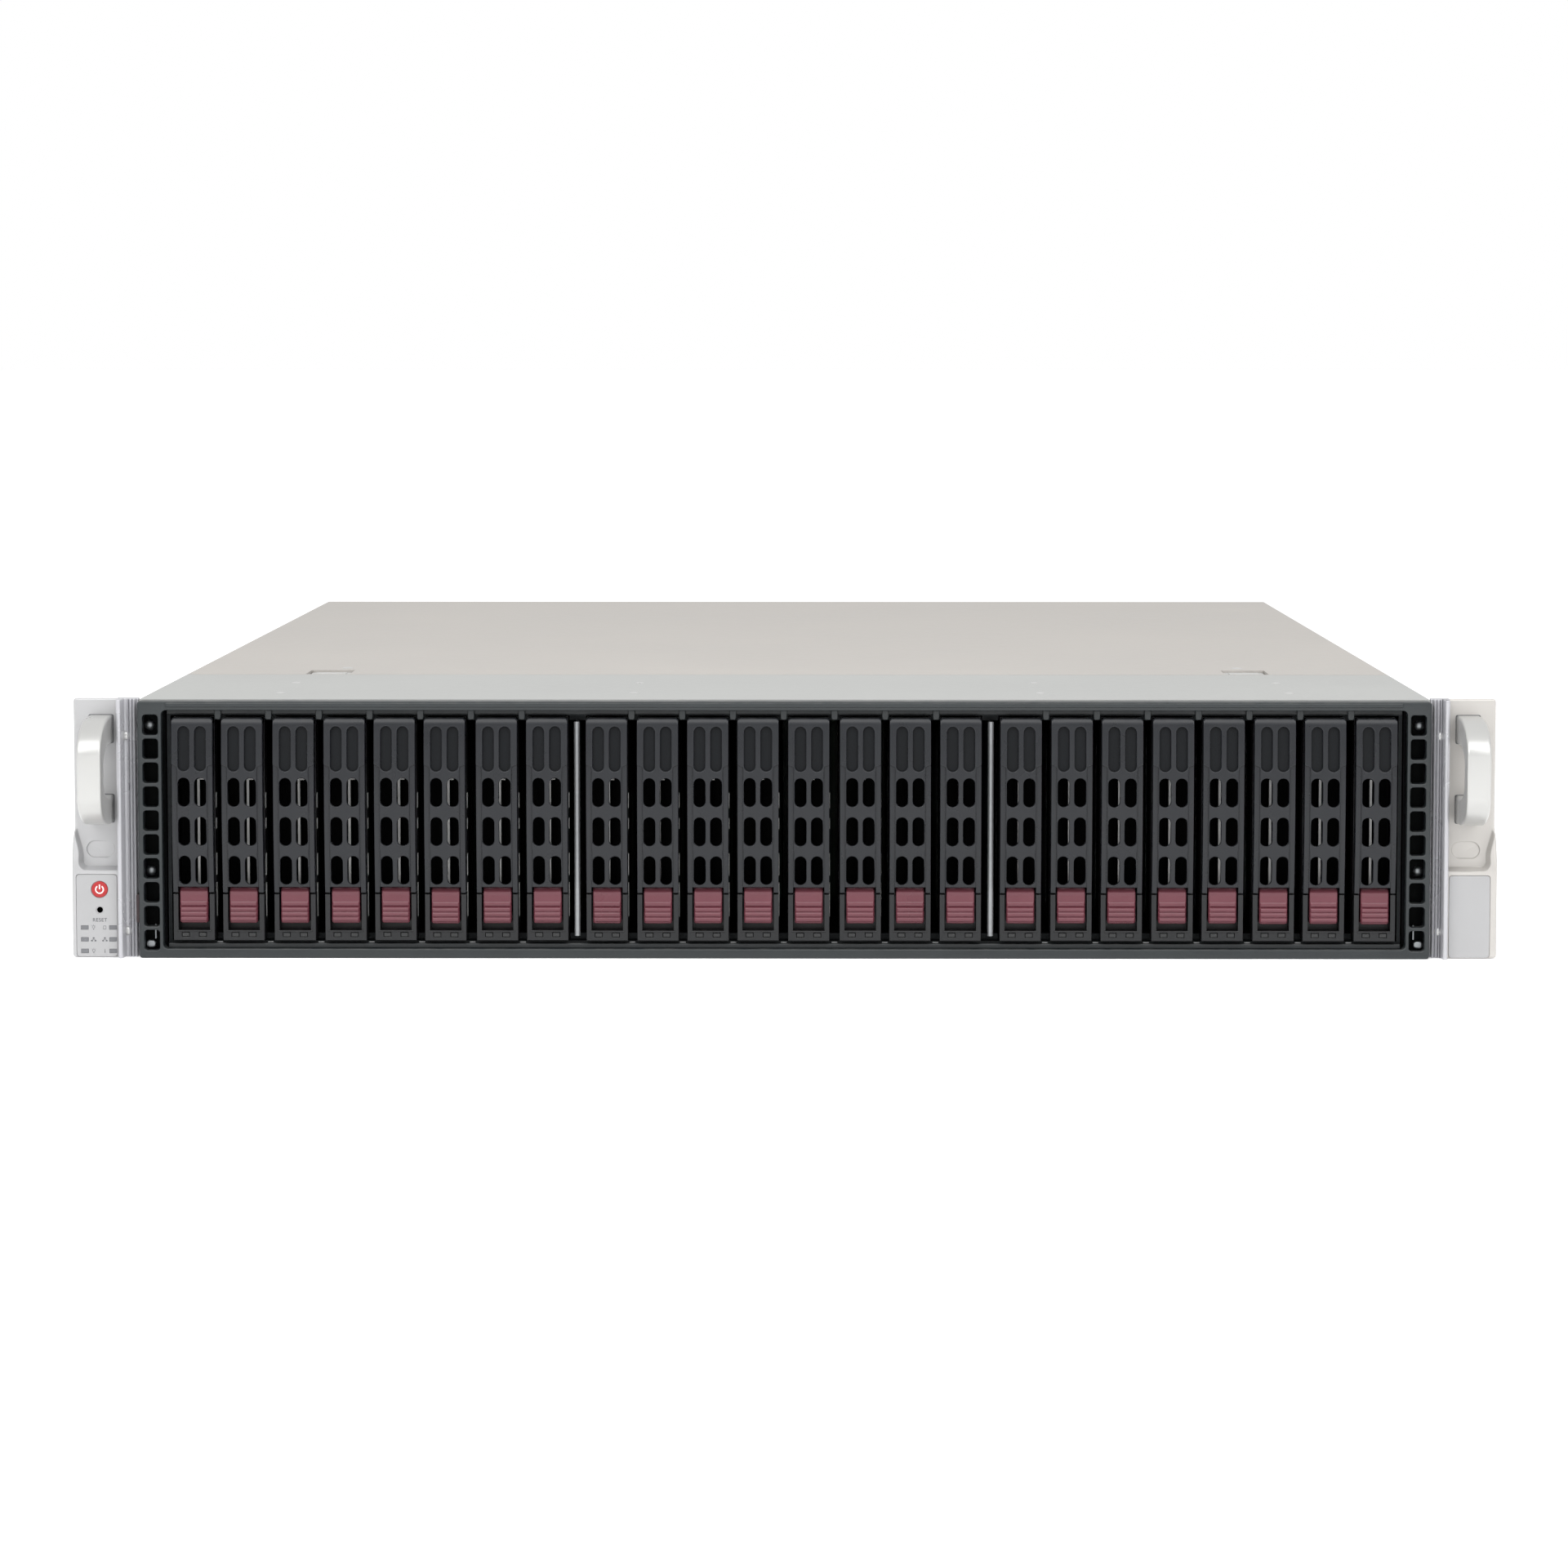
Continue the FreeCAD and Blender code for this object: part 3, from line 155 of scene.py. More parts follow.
def dress(name, data, body, materials, shift=(0, 0, 0),
          sharp=35, nodes=()):
    """An object for finished mesh data, riding on its body."""
    if not data.materials:
        for material in materials:
            data.materials.append(material)
        data.shade_smooth()
        data.set_sharp_from_angle(angle=math.radians(sharp))
    piece = bpy.data.objects.new(name, data)
    piece.location = Vector(shift) * MM
    bpy.context.scene.collection.objects.link(piece)
    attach(piece, body)
    if nodes:
        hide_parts(*nodes)
    return piece


def tint(red, green, blue):
    """Linear colour from the three 0-255 display values."""
    shares = [value / 255 for value in (red, green, blue)]
    return tuple(share / 12.92 if share <= 0.04045
                 else ((share + 0.055) / 1.055) ** 2.4
                 for share in shares) + (1.0,)


def node(tree, kind, takes=None, **settings):
    """A shader node with its settings, values and links."""
    made = tree.nodes.new("ShaderNode" + kind)
    for word, setting in settings.items():
        setattr(made, word, setting)
    for socket, given in (takes or {}).items():
        if isinstance(given, bpy.types.NodeSocket):
            tree.links.new(given, made.inputs[socket])
        else:
            made.inputs[socket].default_value = given
    return made


def reckon(tree, operation, *takes):
    """The value of one arithmetic step."""
    return node(tree, "Math", dict(enumerate(takes)),
                operation=operation).outputs[0]


def noise(tree, place, scale, detail):
    """The value of a soft noise."""
    return node(tree, "TexNoise", {"Vector": place, "Scale": scale,
                                   "Detail": detail}).outputs["Fac"]


def shaded(tree, colour, share):
    """A colour made darker or paler by a share."""
    return node(tree, "VectorMath", {0: colour, "Scale": share},
                operation="SCALE").outputs[0]


def effect(name, takes, gives):
    """An empty shader node group: its tree, its inputs, its outputs.

    Colour is a colour socket, and every other name is a number.
    """
    tree = bpy.data.node_groups.new(name, "ShaderNodeTree")
    for way, words in (("INPUT", takes), ("OUTPUT", gives)):
        for word in words:
            kind = "Color" if word == "Colour" else "Float"
            tree.interface.new_socket(word, in_out=way,
                                      socket_type="NodeSocket" + kind)
    entry = tree.nodes.new("NodeGroupInput")
    leave = tree.nodes.new("NodeGroupOutput")
    return tree, entry.outputs, leave.inputs


def given_out(tree, leave, **values):
    """Link values to the sockets that a group gives out."""
    for word, value in values.items():
        tree.links.new(value, leave[word])
    return tree


def moulding_grain():
    """Fine spark-eroded grain and cloudy tone of moulded plastic."""
    tree, entry, leave = effect("Moulding grain",
                                ("Colour", "Tone", "Grain", "Gloss"),
                                ("Colour", "Roughness", "Height"))
    place = node(tree, "TexCoord").outputs["Object"]
    own = node(tree, "ObjectInfo").outputs["Random"]
    cloud = node(tree, "TexNoise", {"Vector": place, "W": own, "Scale": 70,
                                    "Detail": 4}, noise_dimensions="4D")
    swing = reckon(tree, "SUBTRACT", cloud.outputs["Fac"], 0.5)
    share = reckon(tree, "MULTIPLY_ADD", swing, entry["Tone"], 1.0)
    rough = reckon(tree, "MULTIPLY_ADD", swing, 0.3, entry["Gloss"])
    return given_out(tree, leave, Roughness=rough,
                     Colour=shaded(tree, entry["Colour"], share),
                     Height=noise(tree, place, entry["Grain"], 2))


def settled_dust():
    """Pale film on faces that look up, broken into patches."""
    tree, entry, leave = effect("Settled dust",
                                ("Colour", "Roughness", "Amount"),
                                ("Colour", "Roughness"))
    facing = node(tree, "SeparateXYZ", {
        "Vector": node(tree, "NewGeometry").outputs["Normal"]})
    up = node(tree, "MapRange", {"Value": facing.outputs["Z"],
                                 "From Min": 0.3, "From Max": 1.0})
    place = node(tree, "TexCoord").outputs["Object"]
    broken = node(tree, "MapRange", {"Value": noise(tree, place, 220, 6),
                                     "From Min": 0.35, "From Max": 0.75})
    film = reckon(tree, "MULTIPLY", up.outputs[0], broken.outputs[0])
    share = reckon(tree, "MULTIPLY", film, entry["Amount"])
    paler = node(tree, "Mix", {"Factor": share, "A": entry["Colour"],
                               "B": tint(176, 172, 166)}, data_type="RGBA")
    duller = reckon(tree, "MULTIPLY_ADD", share, 0.3, entry["Roughness"])
    return given_out(tree, leave, Colour=paler.outputs["Result"],
                     Roughness=duller)


GRAIN = moulding_grain()
DUST = settled_dust()


def coated(name, surface, takes, dust, depth, metallic, shine=0.5):
    """A material: a surface effect, its bump in millimetres, and dust."""
    material = bpy.data.materials.new(name)
    material.use_nodes = True
    tree = material.node_tree
    given = node(tree, "Group", takes, node_tree=surface).outputs
    film = node(tree, "Group", {"Colour": given["Colour"],
                                "Roughness": given["Roughness"],
                                "Amount": dust}, node_tree=DUST).outputs
    bump = node(tree, "Bump", {"Strength": 1.0, "Distance": depth * MM,
                               "Height": given["Height"]})
    shader = tree.nodes["Principled BSDF"].inputs
    tree.links.new(film["Colour"], shader["Base Color"])
    tree.links.new(film["Roughness"], shader["Roughness"])
    tree.links.new(bump.outputs["Normal"], shader["Normal"])
    shader["Metallic"].default_value = metallic
    shader["Specular IOR Level"].default_value = shine
    return material


def plastic(name, colour, gloss, tone=0.5, grain=2400, depth=0.02,
            dust=0.1, metal=0.0, shine=0.5):
    """Moulded plastic or sprayed paint; depth is the grain in millimetres."""
    return coated(name, GRAIN, {"Colour": colour, "Tone": tone,
                                "Grain": grain, "Gloss": gloss},
                  dust, depth, metal, shine)


def reach(name):
    """A node's lowest and highest corners in millimetres."""
    low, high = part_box(name)
    return Vector(low) / MM, Vector(high) / MM


BAYS = 24
BAY_X = []
for bay in range(1, BAYS + 1):
    low, high = reach(f"drive_tray_{bay:02d}")
    BAY_X.append((low.x + high.x) / 2)
GAPS = [(a + b) / 2 for a, b in zip(BAY_X, BAY_X[1:])]
BETWEEN = [x for x, (a, b) in zip(GAPS, zip(BAY_X, BAY_X[1:])) if b - a < 18]

frame_low, frame_high = reach("front_frame")
HALF = frame_high.x
FACE = frame_low.y
OPENING_WIDE, OPENING_HIGH, OPENING_MID = 420.8, 81.1, 43.75
VENTS = 10
VENT_PITCH = 8.13
VENT_FOOT = 6.13                 # middle of the lowest vent
VENT_IN = 4.3                    # vent's middle from the frame's edge
LIP_WIDE = 418

frame_paint = plastic("Frame plastic", tint(33, 38, 40), 0.38, dust=0.1,
                      depth=0.03)
# Darker grey for the recessed lip and sill than for the frame: painted shade.
lip_shade_paint = plastic("Frame inner lip painted shade", tint(26, 30, 32), 0.5, dust=0.1)
openings = [rounded(0, OPENING_MID, OPENING_WIDE, OPENING_HIGH, 1.6)]
for side in (-1, 1):
    for row in range(VENTS):
        openings.append(rounded(side * (HALF - VENT_IN),
                                VENT_FOOT + VENT_PITCH * row,
                                5.2, 6.95, 1.1))
outline = rounded(0, frame_high.z / 2, 2 * HALF, frame_high.z, 1.0)
plate = moulded([outline] + openings, FACE, frame_high.y, 0.45, 3)
crown = moulded([rounded(0, 86.1, LIP_WIDE, 1.5, 0.5)],
                FACE - 0.45, FACE + 1, 0.4)
solid("front_frame_face", [plate, crown], "chassis",
      [frame_paint], nodes=["front_frame"])

# Lip folded in behind the frame's opening, with a stub between each pair
# of trays that keeps them upright in their guides. The lip and the sill are a
# darker grey than the frame and its stubs: painted shade in the recess.
LIP_Y, LIP_BACK = -6.2, -3.5
band = moulded([rounded(0, 83.8, LIP_WIDE, 2.0, 0.3)], LIP_Y, LIP_BACK, 0.25)
sill = moulded([rounded(0, 4.0, LIP_WIDE, 1.7, 0.4)],
               LIP_Y - 0.6, LIP_BACK, 0.35)
stubs = [moulded([rounded(x, 82.7, 2.2, 3.4, 0.5)], LIP_Y - 0.9, LIP_Y + 1,
                 0.3)
         for x in BETWEEN]
solid("frame_lip", [band, sill], "chassis", [lip_shade_paint])
solid("frame_stubs", stubs, "chassis", [frame_paint])


# Zinc sheet springs between the trays, seen as short bright edges low in
# each gap, clipped over the cage floor.
def zinc_grain():
    """Faint spangle, rolling streaks and stains of zinc-coated sheet."""
    tree, entry, leave = effect("Zinc grain",
                                ("Colour", "Spangle", "Streak", "Gloss"),
                                ("Colour", "Roughness", "Height"))
    place = node(tree, "TexCoord").outputs["Object"]
    flake = node(tree, "TexVoronoi", {"Vector": place, "Scale": 420,
                                      "Randomness": 1.0})
    pale = node(tree, "SeparateColor", {"Color": flake.outputs["Color"]})
    drawn = node(tree, "Mapping", {"Vector": place, "Scale": (3, 90, 90)})
    streak = noise(tree, drawn.outputs[0], 9, 5)
    one, two, three = (
        reckon(tree, "SUBTRACT", value, 0.5)
        for value in (pale.outputs["Red"], streak, noise(tree, place, 11, 3)))
    share = reckon(tree, "MULTIPLY_ADD", one, entry["Spangle"], 1.0)
    share = reckon(tree, "MULTIPLY_ADD", two, entry["Streak"], share)
    share = reckon(tree, "MULTIPLY_ADD", three, 0.12, share)
    rough = reckon(tree, "MULTIPLY_ADD", one, 0.1, entry["Gloss"])
    rough = reckon(tree, "MULTIPLY_ADD", three, 0.25, rough)
    return given_out(tree, leave, Roughness=rough, Height=streak,
                     Colour=shaded(tree, entry["Colour"], share))


ZINC = zinc_grain()


def metal(name, colour, gloss, spangle=0.08, streak=0.08, depth=0.01,
          metallic=1.0, dust=0.0):
    """Bare or plated metal; depth is the relief in millimetres."""
    return coated(name, ZINC, {"Colour": colour, "Spangle": spangle,
                               "Streak": streak, "Gloss": gloss},
                  dust, depth, metallic)


spring_steel = metal("Spring steel", tint(140, 141, 141), 0.36)
springs = [moulded([rounded(x, 5.0, 2.1, 0.5, 0.2)], -5.0, -3.6, 0.1)
           for x in BETWEEN]
solid("cage_springs", springs, "chassis", [spring_steel])

# Side brackets behind the vents: steel strips that carry the ears,
# each held by two domed screws that show through the vents. The strips
# are near-black with almost no shine: painted shade behind the vents.
bracket_shade_black = plastic("Bracket painted shade", tint(3, 5, 5), 0.6, dust=0.0,
                        shine=0.06)
vent_steel = metal("Bracket screw", tint(150, 154, 156), 0.42)


def dome(mid_x, mid_z, back, radius, height, sides=20, rings=5):
    """Domed screw head standing forward of the Y place called back."""
    work = bmesh.new()
    circles = []
    for ring in range(rings):
        turn = math.radians(90 * ring / rings)
        wide = radius * math.cos(turn)
        deep = back - height * math.sin(turn)
        circles.append([work.verts.new((
            mid_x + wide * math.cos(2 * math.pi * k / sides), deep,
            mid_z + wide * math.sin(2 * math.pi * k / sides)))
            for k in range(sides)])
    tip = work.verts.new((mid_x, back - height, mid_z))
    for lower, upper in zip(circles, circles[1:]):
        for k in range(sides):
            n = (k + 1) % sides
            work.faces.new((lower[k], lower[n], upper[n], upper[k]))
    for k in range(sides):
        work.faces.new((circles[-1][k], circles[-1][(k + 1) % sides], tip))
    work.faces.new(circles[0][::-1])
    return taken(work, "dome")


BRACKET_MID = 214.0
BRACKET_SCREWS = (78.9, 29.4)
for side, word in ((-1, "left"), (1, "right")):
    strip = moulded([rounded(side * BRACKET_MID, 43.5, 8.8, 84, 0.6)],
                    -3.57, -3.52, 0.02, 1)
    screws = [dome(side * (BRACKET_MID + 0.9), z, -3.55, 1.9, 1.7)
              for z in BRACKET_SCREWS]
    stud = moulded([rounded(side * (BRACKET_MID + 1), 4.5, 3.4, 2.6, 1.2)],
                   -6.4, -3.4, 0.6, 3)
    tab = moulded([rounded(side * (BRACKET_MID - 0.5), 8.6, 0.6, 5.0, 0.25)],
                  -5.2, -3.4, 0.15)
    solid(f"{word}_bracket", [strip] + screws + [stud, tab], "chassis",
          [bracket_shade_black, vent_steel])


# ---------------------------------------------------------- drive trays
# 24 hot-swap trays. Each has a bowed pull lever of dark moulded plastic
# with six air slots and two blind grips, hinged at the top and held shut
# by a burgundy button that slides in a well in the tray's black bezel.
TRAY_LEAD = 11.0
BOW_CENTRE = 55.0
BOW_RADIUS = 290.0
BRIGHT_RIM = 2.2                 # how far down the lever's top edge rolls over
LEVER_TOP = 81.7
SHOULDER = 65.2                  # where the raised panel widens
SLOT_ROWS = (30.0, 43.3, 56.6)   # middles of the air slots
GRIP_ROW = (71.3,)               # middle of the blind grips
SLOT_OUT = 2.8                   # a slot's middle from the lever's middle
NOTCH_HALF = 5.25                # half the notch over the button
POST_FRONT, POST_BACK = -2.4, 1.4
DRIVE_FRONT, TRAY_END = 15.0, 115.4


def bow(up):
    """Y place of the lever's foremost surface at one height."""
    off = up - BOW_CENTRE
    return BOW_RADIUS - math.sqrt(BOW_RADIUS ** 2 - off ** 2) - TRAY_LEAD


def sliced(work, level, reach_of_cut):
    """Cut every face of a bmesh level at one height."""
    everything = work.verts[:] + work.edges[:] + work.faces[:]
    bmesh.ops.bisect_plane(work, geom=everything, dist=reach_of_cut,
                           plane_co=(0, 0, level), plane_no=(0, 0, 1))


def bowed(mesh, spacing=3.0):
    """The mesh sliced level and bent to the lever's bow."""
    work = bmesh.new()
    work.from_mesh(mesh)
    level = 22.0
    while level < LEVER_TOP:
        sliced(work, level, 0.01)
        level += spacing if level < LEVER_TOP - 4 else 0.6
    for vertex in work.verts:
        up = vertex.co.z
        roll = max(0.0, (up - LEVER_TOP + BRIGHT_RIM) / BRIGHT_RIM)
        vertex.co.y += bow(up) + TRAY_LEAD + 1.1 * roll ** 2
    return taken(work, "bowed")


def slot_pairs(rows, wide, high):
    """Round-ended openings, one each side of the middle, row by row."""
    return [rounded(side * SLOT_OUT, row, wide, high, wide / 2 - 0.01, 8)
            for row in rows for side in (-1, 1)]


def notched(half, foot, top, notch_half, notch_top, ease, shoulder=0):
    """Lever outline with the notch over the button, anticlockwise."""
    wide = shoulder or half
    points = [(wide - ease, top), (-wide + ease, top), (-wide, top - ease)]
    if shoulder:
        points += [(-wide, SHOULDER + 0.8), (-half, SHOULDER)]
    if half > notch_half:
        points += [(-half, foot), (-notch_half, foot),
                   (-notch_half, notch_top), (notch_half, notch_top),
                   (notch_half, foot), (half, foot)]
    else:
        points += [(-half, notch_top), (half, notch_top)]
    if shoulder:
        points += [(half, SHOULDER), (wide, SHOULDER + 0.8)]
    points.append((wide, top - ease))
    return points


slots = slot_pairs(SLOT_ROWS, 4.0, 9.8)
grips = slot_pairs(GRIP_ROW, 3.8, 15.2)
wider = slot_pairs(SLOT_ROWS, 3.9, 9.7)
skin = moulded([notched(5.2, 22.4, LEVER_TOP - 0.05, NOTCH_HALF, 24.25,
                        0.7, 6.98)] + slots + grips, -11.0, -10.1, 0.32, 3)
deeper = slot_pairs(GRIP_ROW, 3.7, 15.1)
wall = moulded([notched(6.95, 22.3, LEVER_TOP, NOTCH_HALF, 24.2, 0.5)]
               + wider + deeper, -10.5, -9.3, 0.25)
sides = [moulded([rounded(side * 6.45, 51.0, 1.1, 57.4, 0.3)],
                 -9.6, -5.9, 0.2) for side in (-1, 1)]
head = moulded([rounded(0, 78.9, 10.2, 5.4, 0.4)], -9.6, -6.9, 0.25)
floors = moulded([rounded(0, GRIP_ROW[0], 10.4, 15.8, 0.4)], -9.75, -9.2, 0.1)

lever_plastic = plastic("Lever plastic", tint(25, 27, 31), 0.3, tone=0.35,
                        dust=0.04, depth=0.015, shine=0.38)
# The grip floors are far darker and duller than the lever: painted shade in the blind
# grips.
grip_floor_shade = plastic("Lever grip floor painted shade", tint(6, 9, 13), 0.5, tone=0.6,
                       dust=0.0, shine=0.2)

# Button: 9.5 wide, flat above and with four grip ribs below, its corners
# eased. It is a lofted skin closed behind.
BUTTON_HALF = 4.75
BUTTON_LOW, BUTTON_HIGH = 11.9, 23.8
RIB_LINES = (13.3, 15.0, 16.6, 18.5)


def rib_lift(up, share):
    """How far a button's face stands forward at one height."""
    lift = 0.0
    for number, line in enumerate(RIB_LINES):
        size = 0.95 if number < 3 else 0.55
        off = (up - line) / 0.85
        if abs(off) < 1:
            lift = max(lift, size * (1 - off ** 2) ** 0.5)
    if up > 18.5:
        lift = max(lift, 0.25 * (1 - min(1, (up - 18.5) / 3)))
    fade = min(1.0, (1 - abs(share)) / 0.1)
    return lift * fade ** 0.5


def backed(work, rows, back):
    """Skin rows of points and close them to a flat back at one Y."""
    for low, high in zip(rows, rows[1:]):
        for k in range(len(low) - 1):
            work.faces.new((low[k], low[k + 1], high[k + 1], high[k]))
    rim = [edge for edge in work.edges if edge.is_boundary]
    made = bmesh.ops.extrude_edge_only(work, edges=rim)["geom"]
    for item in made:
        if isinstance(item, bmesh.types.BMVert):
            item.co.y = back
    bmesh.ops.holes_fill(work, edges=work.edges[:])
    bmesh.ops.recalc_face_normals(work, faces=work.faces[:])


def button_data():
    """The button's mesh: a grid of heights and its closed sides."""
    work = bmesh.new()
    shares = [-1, -0.985, -0.95, -0.9, -0.85, -0.7, -0.35, 0,
              0.35, 0.7, 0.85, 0.9, 0.95, 0.985, 1]
    levels = [BUTTON_LOW + (BUTTON_HIGH - BUTTON_LOW) * k / 66
              for k in range(67)]
    grid = []
    for up in levels:
        low_ease = max(0.0, 1 - (up - BUTTON_LOW) / 1.1)
        pull = 0.5 * (1 - math.sqrt(max(0.0, 1 - low_ease ** 2)))
        line = []
        for share in shares:
            across = share * (BUTTON_HALF - pull)
            edge = max(0.0, (abs(share) - 0.9) / 0.1)
            top = max(0.0, 1 - (BUTTON_HIGH - up) / 1.25)
            foot = max(0.0, 1 - (up - BUTTON_LOW) / 0.5)
            deep = -8.1 - rib_lift(up, share) + 0.45 * edge ** 2
            deep += 1.0 * top + 0.5 * foot ** 2
            line.append(work.verts.new((across, deep, up)))
        grid.append(line)
    backed(work, grid, -2.3)
    bmesh.ops.scale(work, vec=(MM, MM, MM), verts=work.verts)
    return taken(work, "button")


button_plastic = plastic("Button plastic", tint(95, 48, 57), 0.32, tone=0.3,
                         dust=0.05, depth=0.02)

# Bezel and carrier: the frame that holds the drive. Two lamp windows sit
# in its sill, and an air web stands behind the lever's slots. The web's
# front lip and thin strips on the posts are near-white: painted highlight.
# The web's body and thin sheets behind the slots and down the tray's sides
# are near-black: painted shade inside the slots and between the trays.
BEZEL_HALF, WELL_HALF = 7.0, 5.3
BEZEL_FOOT, SILL_TOP, BEZEL_TOP = 5.95, 9.3, 21.75
LAMP_OUT, LAMP_UP = 2.9, 7.9     # a lamp window's middle
half = [(BEZEL_HALF, BEZEL_FOOT), (BEZEL_HALF, BEZEL_TOP),
        (WELL_HALF, BEZEL_TOP), (WELL_HALF, SILL_TOP)]
bezel_outline = half + [(-x, z) for x, z in half[::-1]]
windows = [rounded(side * LAMP_OUT, LAMP_UP, 2.6, 1.6, 0.12, 2)
           for side in (-1, 1)]
bezel = moulded([bezel_outline] + windows, -8.1, POST_BACK, 0.22)
ledge = moulded([rounded(0, 9.15, 11.6, 0.5, 0.15)], -8.4, -7.4, 0.14)
well = moulded([rounded(0, 15.5, 10.8, 12.6, 0.2)], -1.6, 1.2, 0.1)
lamps = [moulded([rounded(side * LAMP_OUT, LAMP_UP, 2.3, 1.3, 0.1, 2)],
                 -7.95, -6.5, 0.1) for side in (-1, 1)]
posts = [moulded([rounded(side * 6.4, 51.8, 1.1, 60, 0.2)],
                 POST_FRONT, POST_BACK, 0.15) for side in (-1, 1)]
cap = moulded([rounded(0, 80.2, 13.9, 3.0, 0.3)], POST_FRONT, POST_BACK, 0.2)
bezel_parts = [bezel, ledge, well] + posts + [cap]


def box_mesh(low, high, ease=0.2):
    """Mesh data of an eased bar between two corners."""
    across = ((low[0] + high[0]) / 2, (low[2] + high[2]) / 2)
    size = (high[0] - low[0], high[2] - low[2])
    ring = rounded(*across, *size, ease, 2)
    return moulded([ring], low[1], high[1], ease * 0.7)


rails = [box_mesh((-5.4, 1.2, BEZEL_FOOT), (5.4, TRAY_END, 8.85), 0.4),
         box_mesh((-5.4, 1.2, 78.8), (5.4, TRAY_END, LEVER_TOP), 0.4)]
for x in (-5.3, 5.3):
    for y in (24, 92):
        rails.append(box_mesh((x - 0.25, y, 7.0), (x + 0.25, y + 9, 8.2), 0.1))
web = box_mesh((-0.7, 7.6, 9.0), (0.7, 14.9, 59.4), 0.15)
web_lips = [box_mesh((-0.45, 7.0, 9.0), (0.45, 7.7, 59.6), 0.12),
            box_mesh((0.0, 7.0, 59.3), (1.9, 8.6, 59.8), 0.08)]
# Thin near-white strips on each post's side facing the gap: painted glints between the
# trays.
for foot, high in ((50.5, 5.2), (43.4, 3.6), (27.5, 7.5), (13.5, 11.5)):
    web_lips.append(box_mesh((6.9, -1.6, foot), (7.12, 0.8, foot + high),
                             0.08))
# A near-black sheet behind the slots and two down the tray's sides: painted shade for the
# dark inside of the slots and the gaps between trays.
shade_baffle = box_mesh((-7.0, 14.7, 9.2), (7.0, 15.1, 78.5), 0.1)
shade_skirts = [box_mesh((side * 7.05 - 0.1, 1.5, 9.0),
                   (side * 7.05 + 0.1, 30.0, 79.0), 0.08)
          for side in (-1, 1)]
bezel_plastic = plastic("Bezel plastic", tint(24, 25, 27), 0.38, tone=0.4,
                        dust=0.06, shine=0.4)
lamp_plastic = plastic("Lamp window", tint(28, 29, 30), 0.2)
rail_paint = plastic("Rail plastic", tint(18, 19, 21), 0.5, shine=0.3)
web_painted_sheen = metal("Air web painted sheen", tint(216, 216, 214), 0.4, metallic=0.3)
slot_shade_black = plastic("Slot painted shade", tint(5, 5, 6), 0.6, dust=0.0, shine=0.08)


# Drive: a sealed 2.5-inch cast case with a pressed lid on one side, the
# controller board on the other and its plug at the rear.
case = box_mesh((-7.3, DRIVE_FRONT, 9.0), (7.3, TRAY_END, 78.7), 0.8)
lid = moulded([rounded(0, 0, 92, 64, 4)], -7.38, -7.2, 0.08)
for vertex in lid.vertices:
    vertex.co = (vertex.co.y, 65 + vertex.co.x, 43.8 + vertex.co.z)
board = box_mesh((7.2, 30, 14), (7.39, 112, 52), 0.1)
chips = [box_mesh((7.3, y, z), (7.398, y + w, z + w), 0.03)
         for y, z, w in ((45, 22, 14), (70, 24, 10), (88, 36, 9))]
plug = box_mesh((-2.4, 113.0, 22.6), (2.4, 115.42, 62), 0.2)
case_metal = metal("Drive case", tint(90, 92, 94), 0.45, dust=0.1)
lid_metal = metal("Drive lid", tint(176, 178, 180), 0.35)
board_green = plastic("Circuit board", tint(22, 70, 48), 0.4, tone=0.6)
chip_black = plastic("Black component", tint(24, 24, 26), 0.45)
shared = {
    "lever": joined([[bowed(mesh) for mesh in (skin, wall, *sides, head)],
                     [bowed(floors)]]),
    "button": button_data(),
    "carrier": joined([bezel_parts, lamps, rails, web_lips,
                       [web, shade_baffle] + shade_skirts]),
    "drive": joined([[case], [lid], [board], chips + [plug]]),
}
paints = {
    "lever": [lever_plastic, grip_floor_shade],
    "button": [button_plastic],
    "carrier": [bezel_plastic, lamp_plastic, rail_paint, web_painted_sheen,
                slot_shade_black],
    "drive": [case_metal, lid_metal, board_green, chip_black],
}
dealt = random.Random(24)
for bay, x in enumerate(BAY_X, 1):
    number = f"{bay:02d}"
    sits = (dealt.uniform(-0.3, 0.3), 0, dealt.uniform(-0.05, 0.05))
    low_button = dealt.choice((0, 0, -0.06, -0.15))
    for part, data in shared.items():
        body = f"{part}_{number}" if part in ("lever", "button") else ""
        node_name = f"release_{part}_{number}"
        if node_name not in NODES:
            body = f"tray_{number}"
            node_name = f"drive_tray_{number}"
        drop = low_button if part == "button" else 0
        place = (x + sits[0], sits[1], sits[2] + drop)
        dress(f"{part}_{number}", data, body, paints[part],
              place, nodes=[node_name])


# ------------------------------------------------------------ rack ears
# Die-cast ears sprayed silver. From the frame outward: a fluted band, a
# sloping groove, a tall rounded ridge and a flat panel. Low on the panel
# stands a control box with a thumb scoop above it and a tapering fin.
EAR_TOP = 88.0
EAR_OUT = reach("right_ear")[1].x
PANEL_WIDE = {"left": 15.7, "right": 16.7}
RIDGE_WIDE = 1.7
BOX_TOP = 29.0
PANEL_FACE = -3.5
FLUTES = 219.5                   # where the band's flutes start
LABEL_MID = 7.4                  # from the ridge to the label's middle
LABEL_UP = 14.4                  # the label's middle above the foot
FIN_TOP = 44.4


def upright(ring, low, high, rim):
    """Mesh data of a plan outline drawn upward, its ends eased."""
    mesh = moulded([ring], low, high, rim)
    for vertex in mesh.vertices:
        across, deep, back = vertex.co
        vertex.co = (across, back, deep)
    mesh.flip_normals()
    work = bmesh.new()
    work.from_mesh(mesh)
    rings = 8 if high - low > 20 else 1
    cuts = [low + rim * 2 + (high - low - rim * 4) * k / rings
            for k in range(rings + 1)]
    for level in cuts:
        sliced(work, level, 0.001)
    work.to_mesh(mesh)
    work.free()
    return mesh


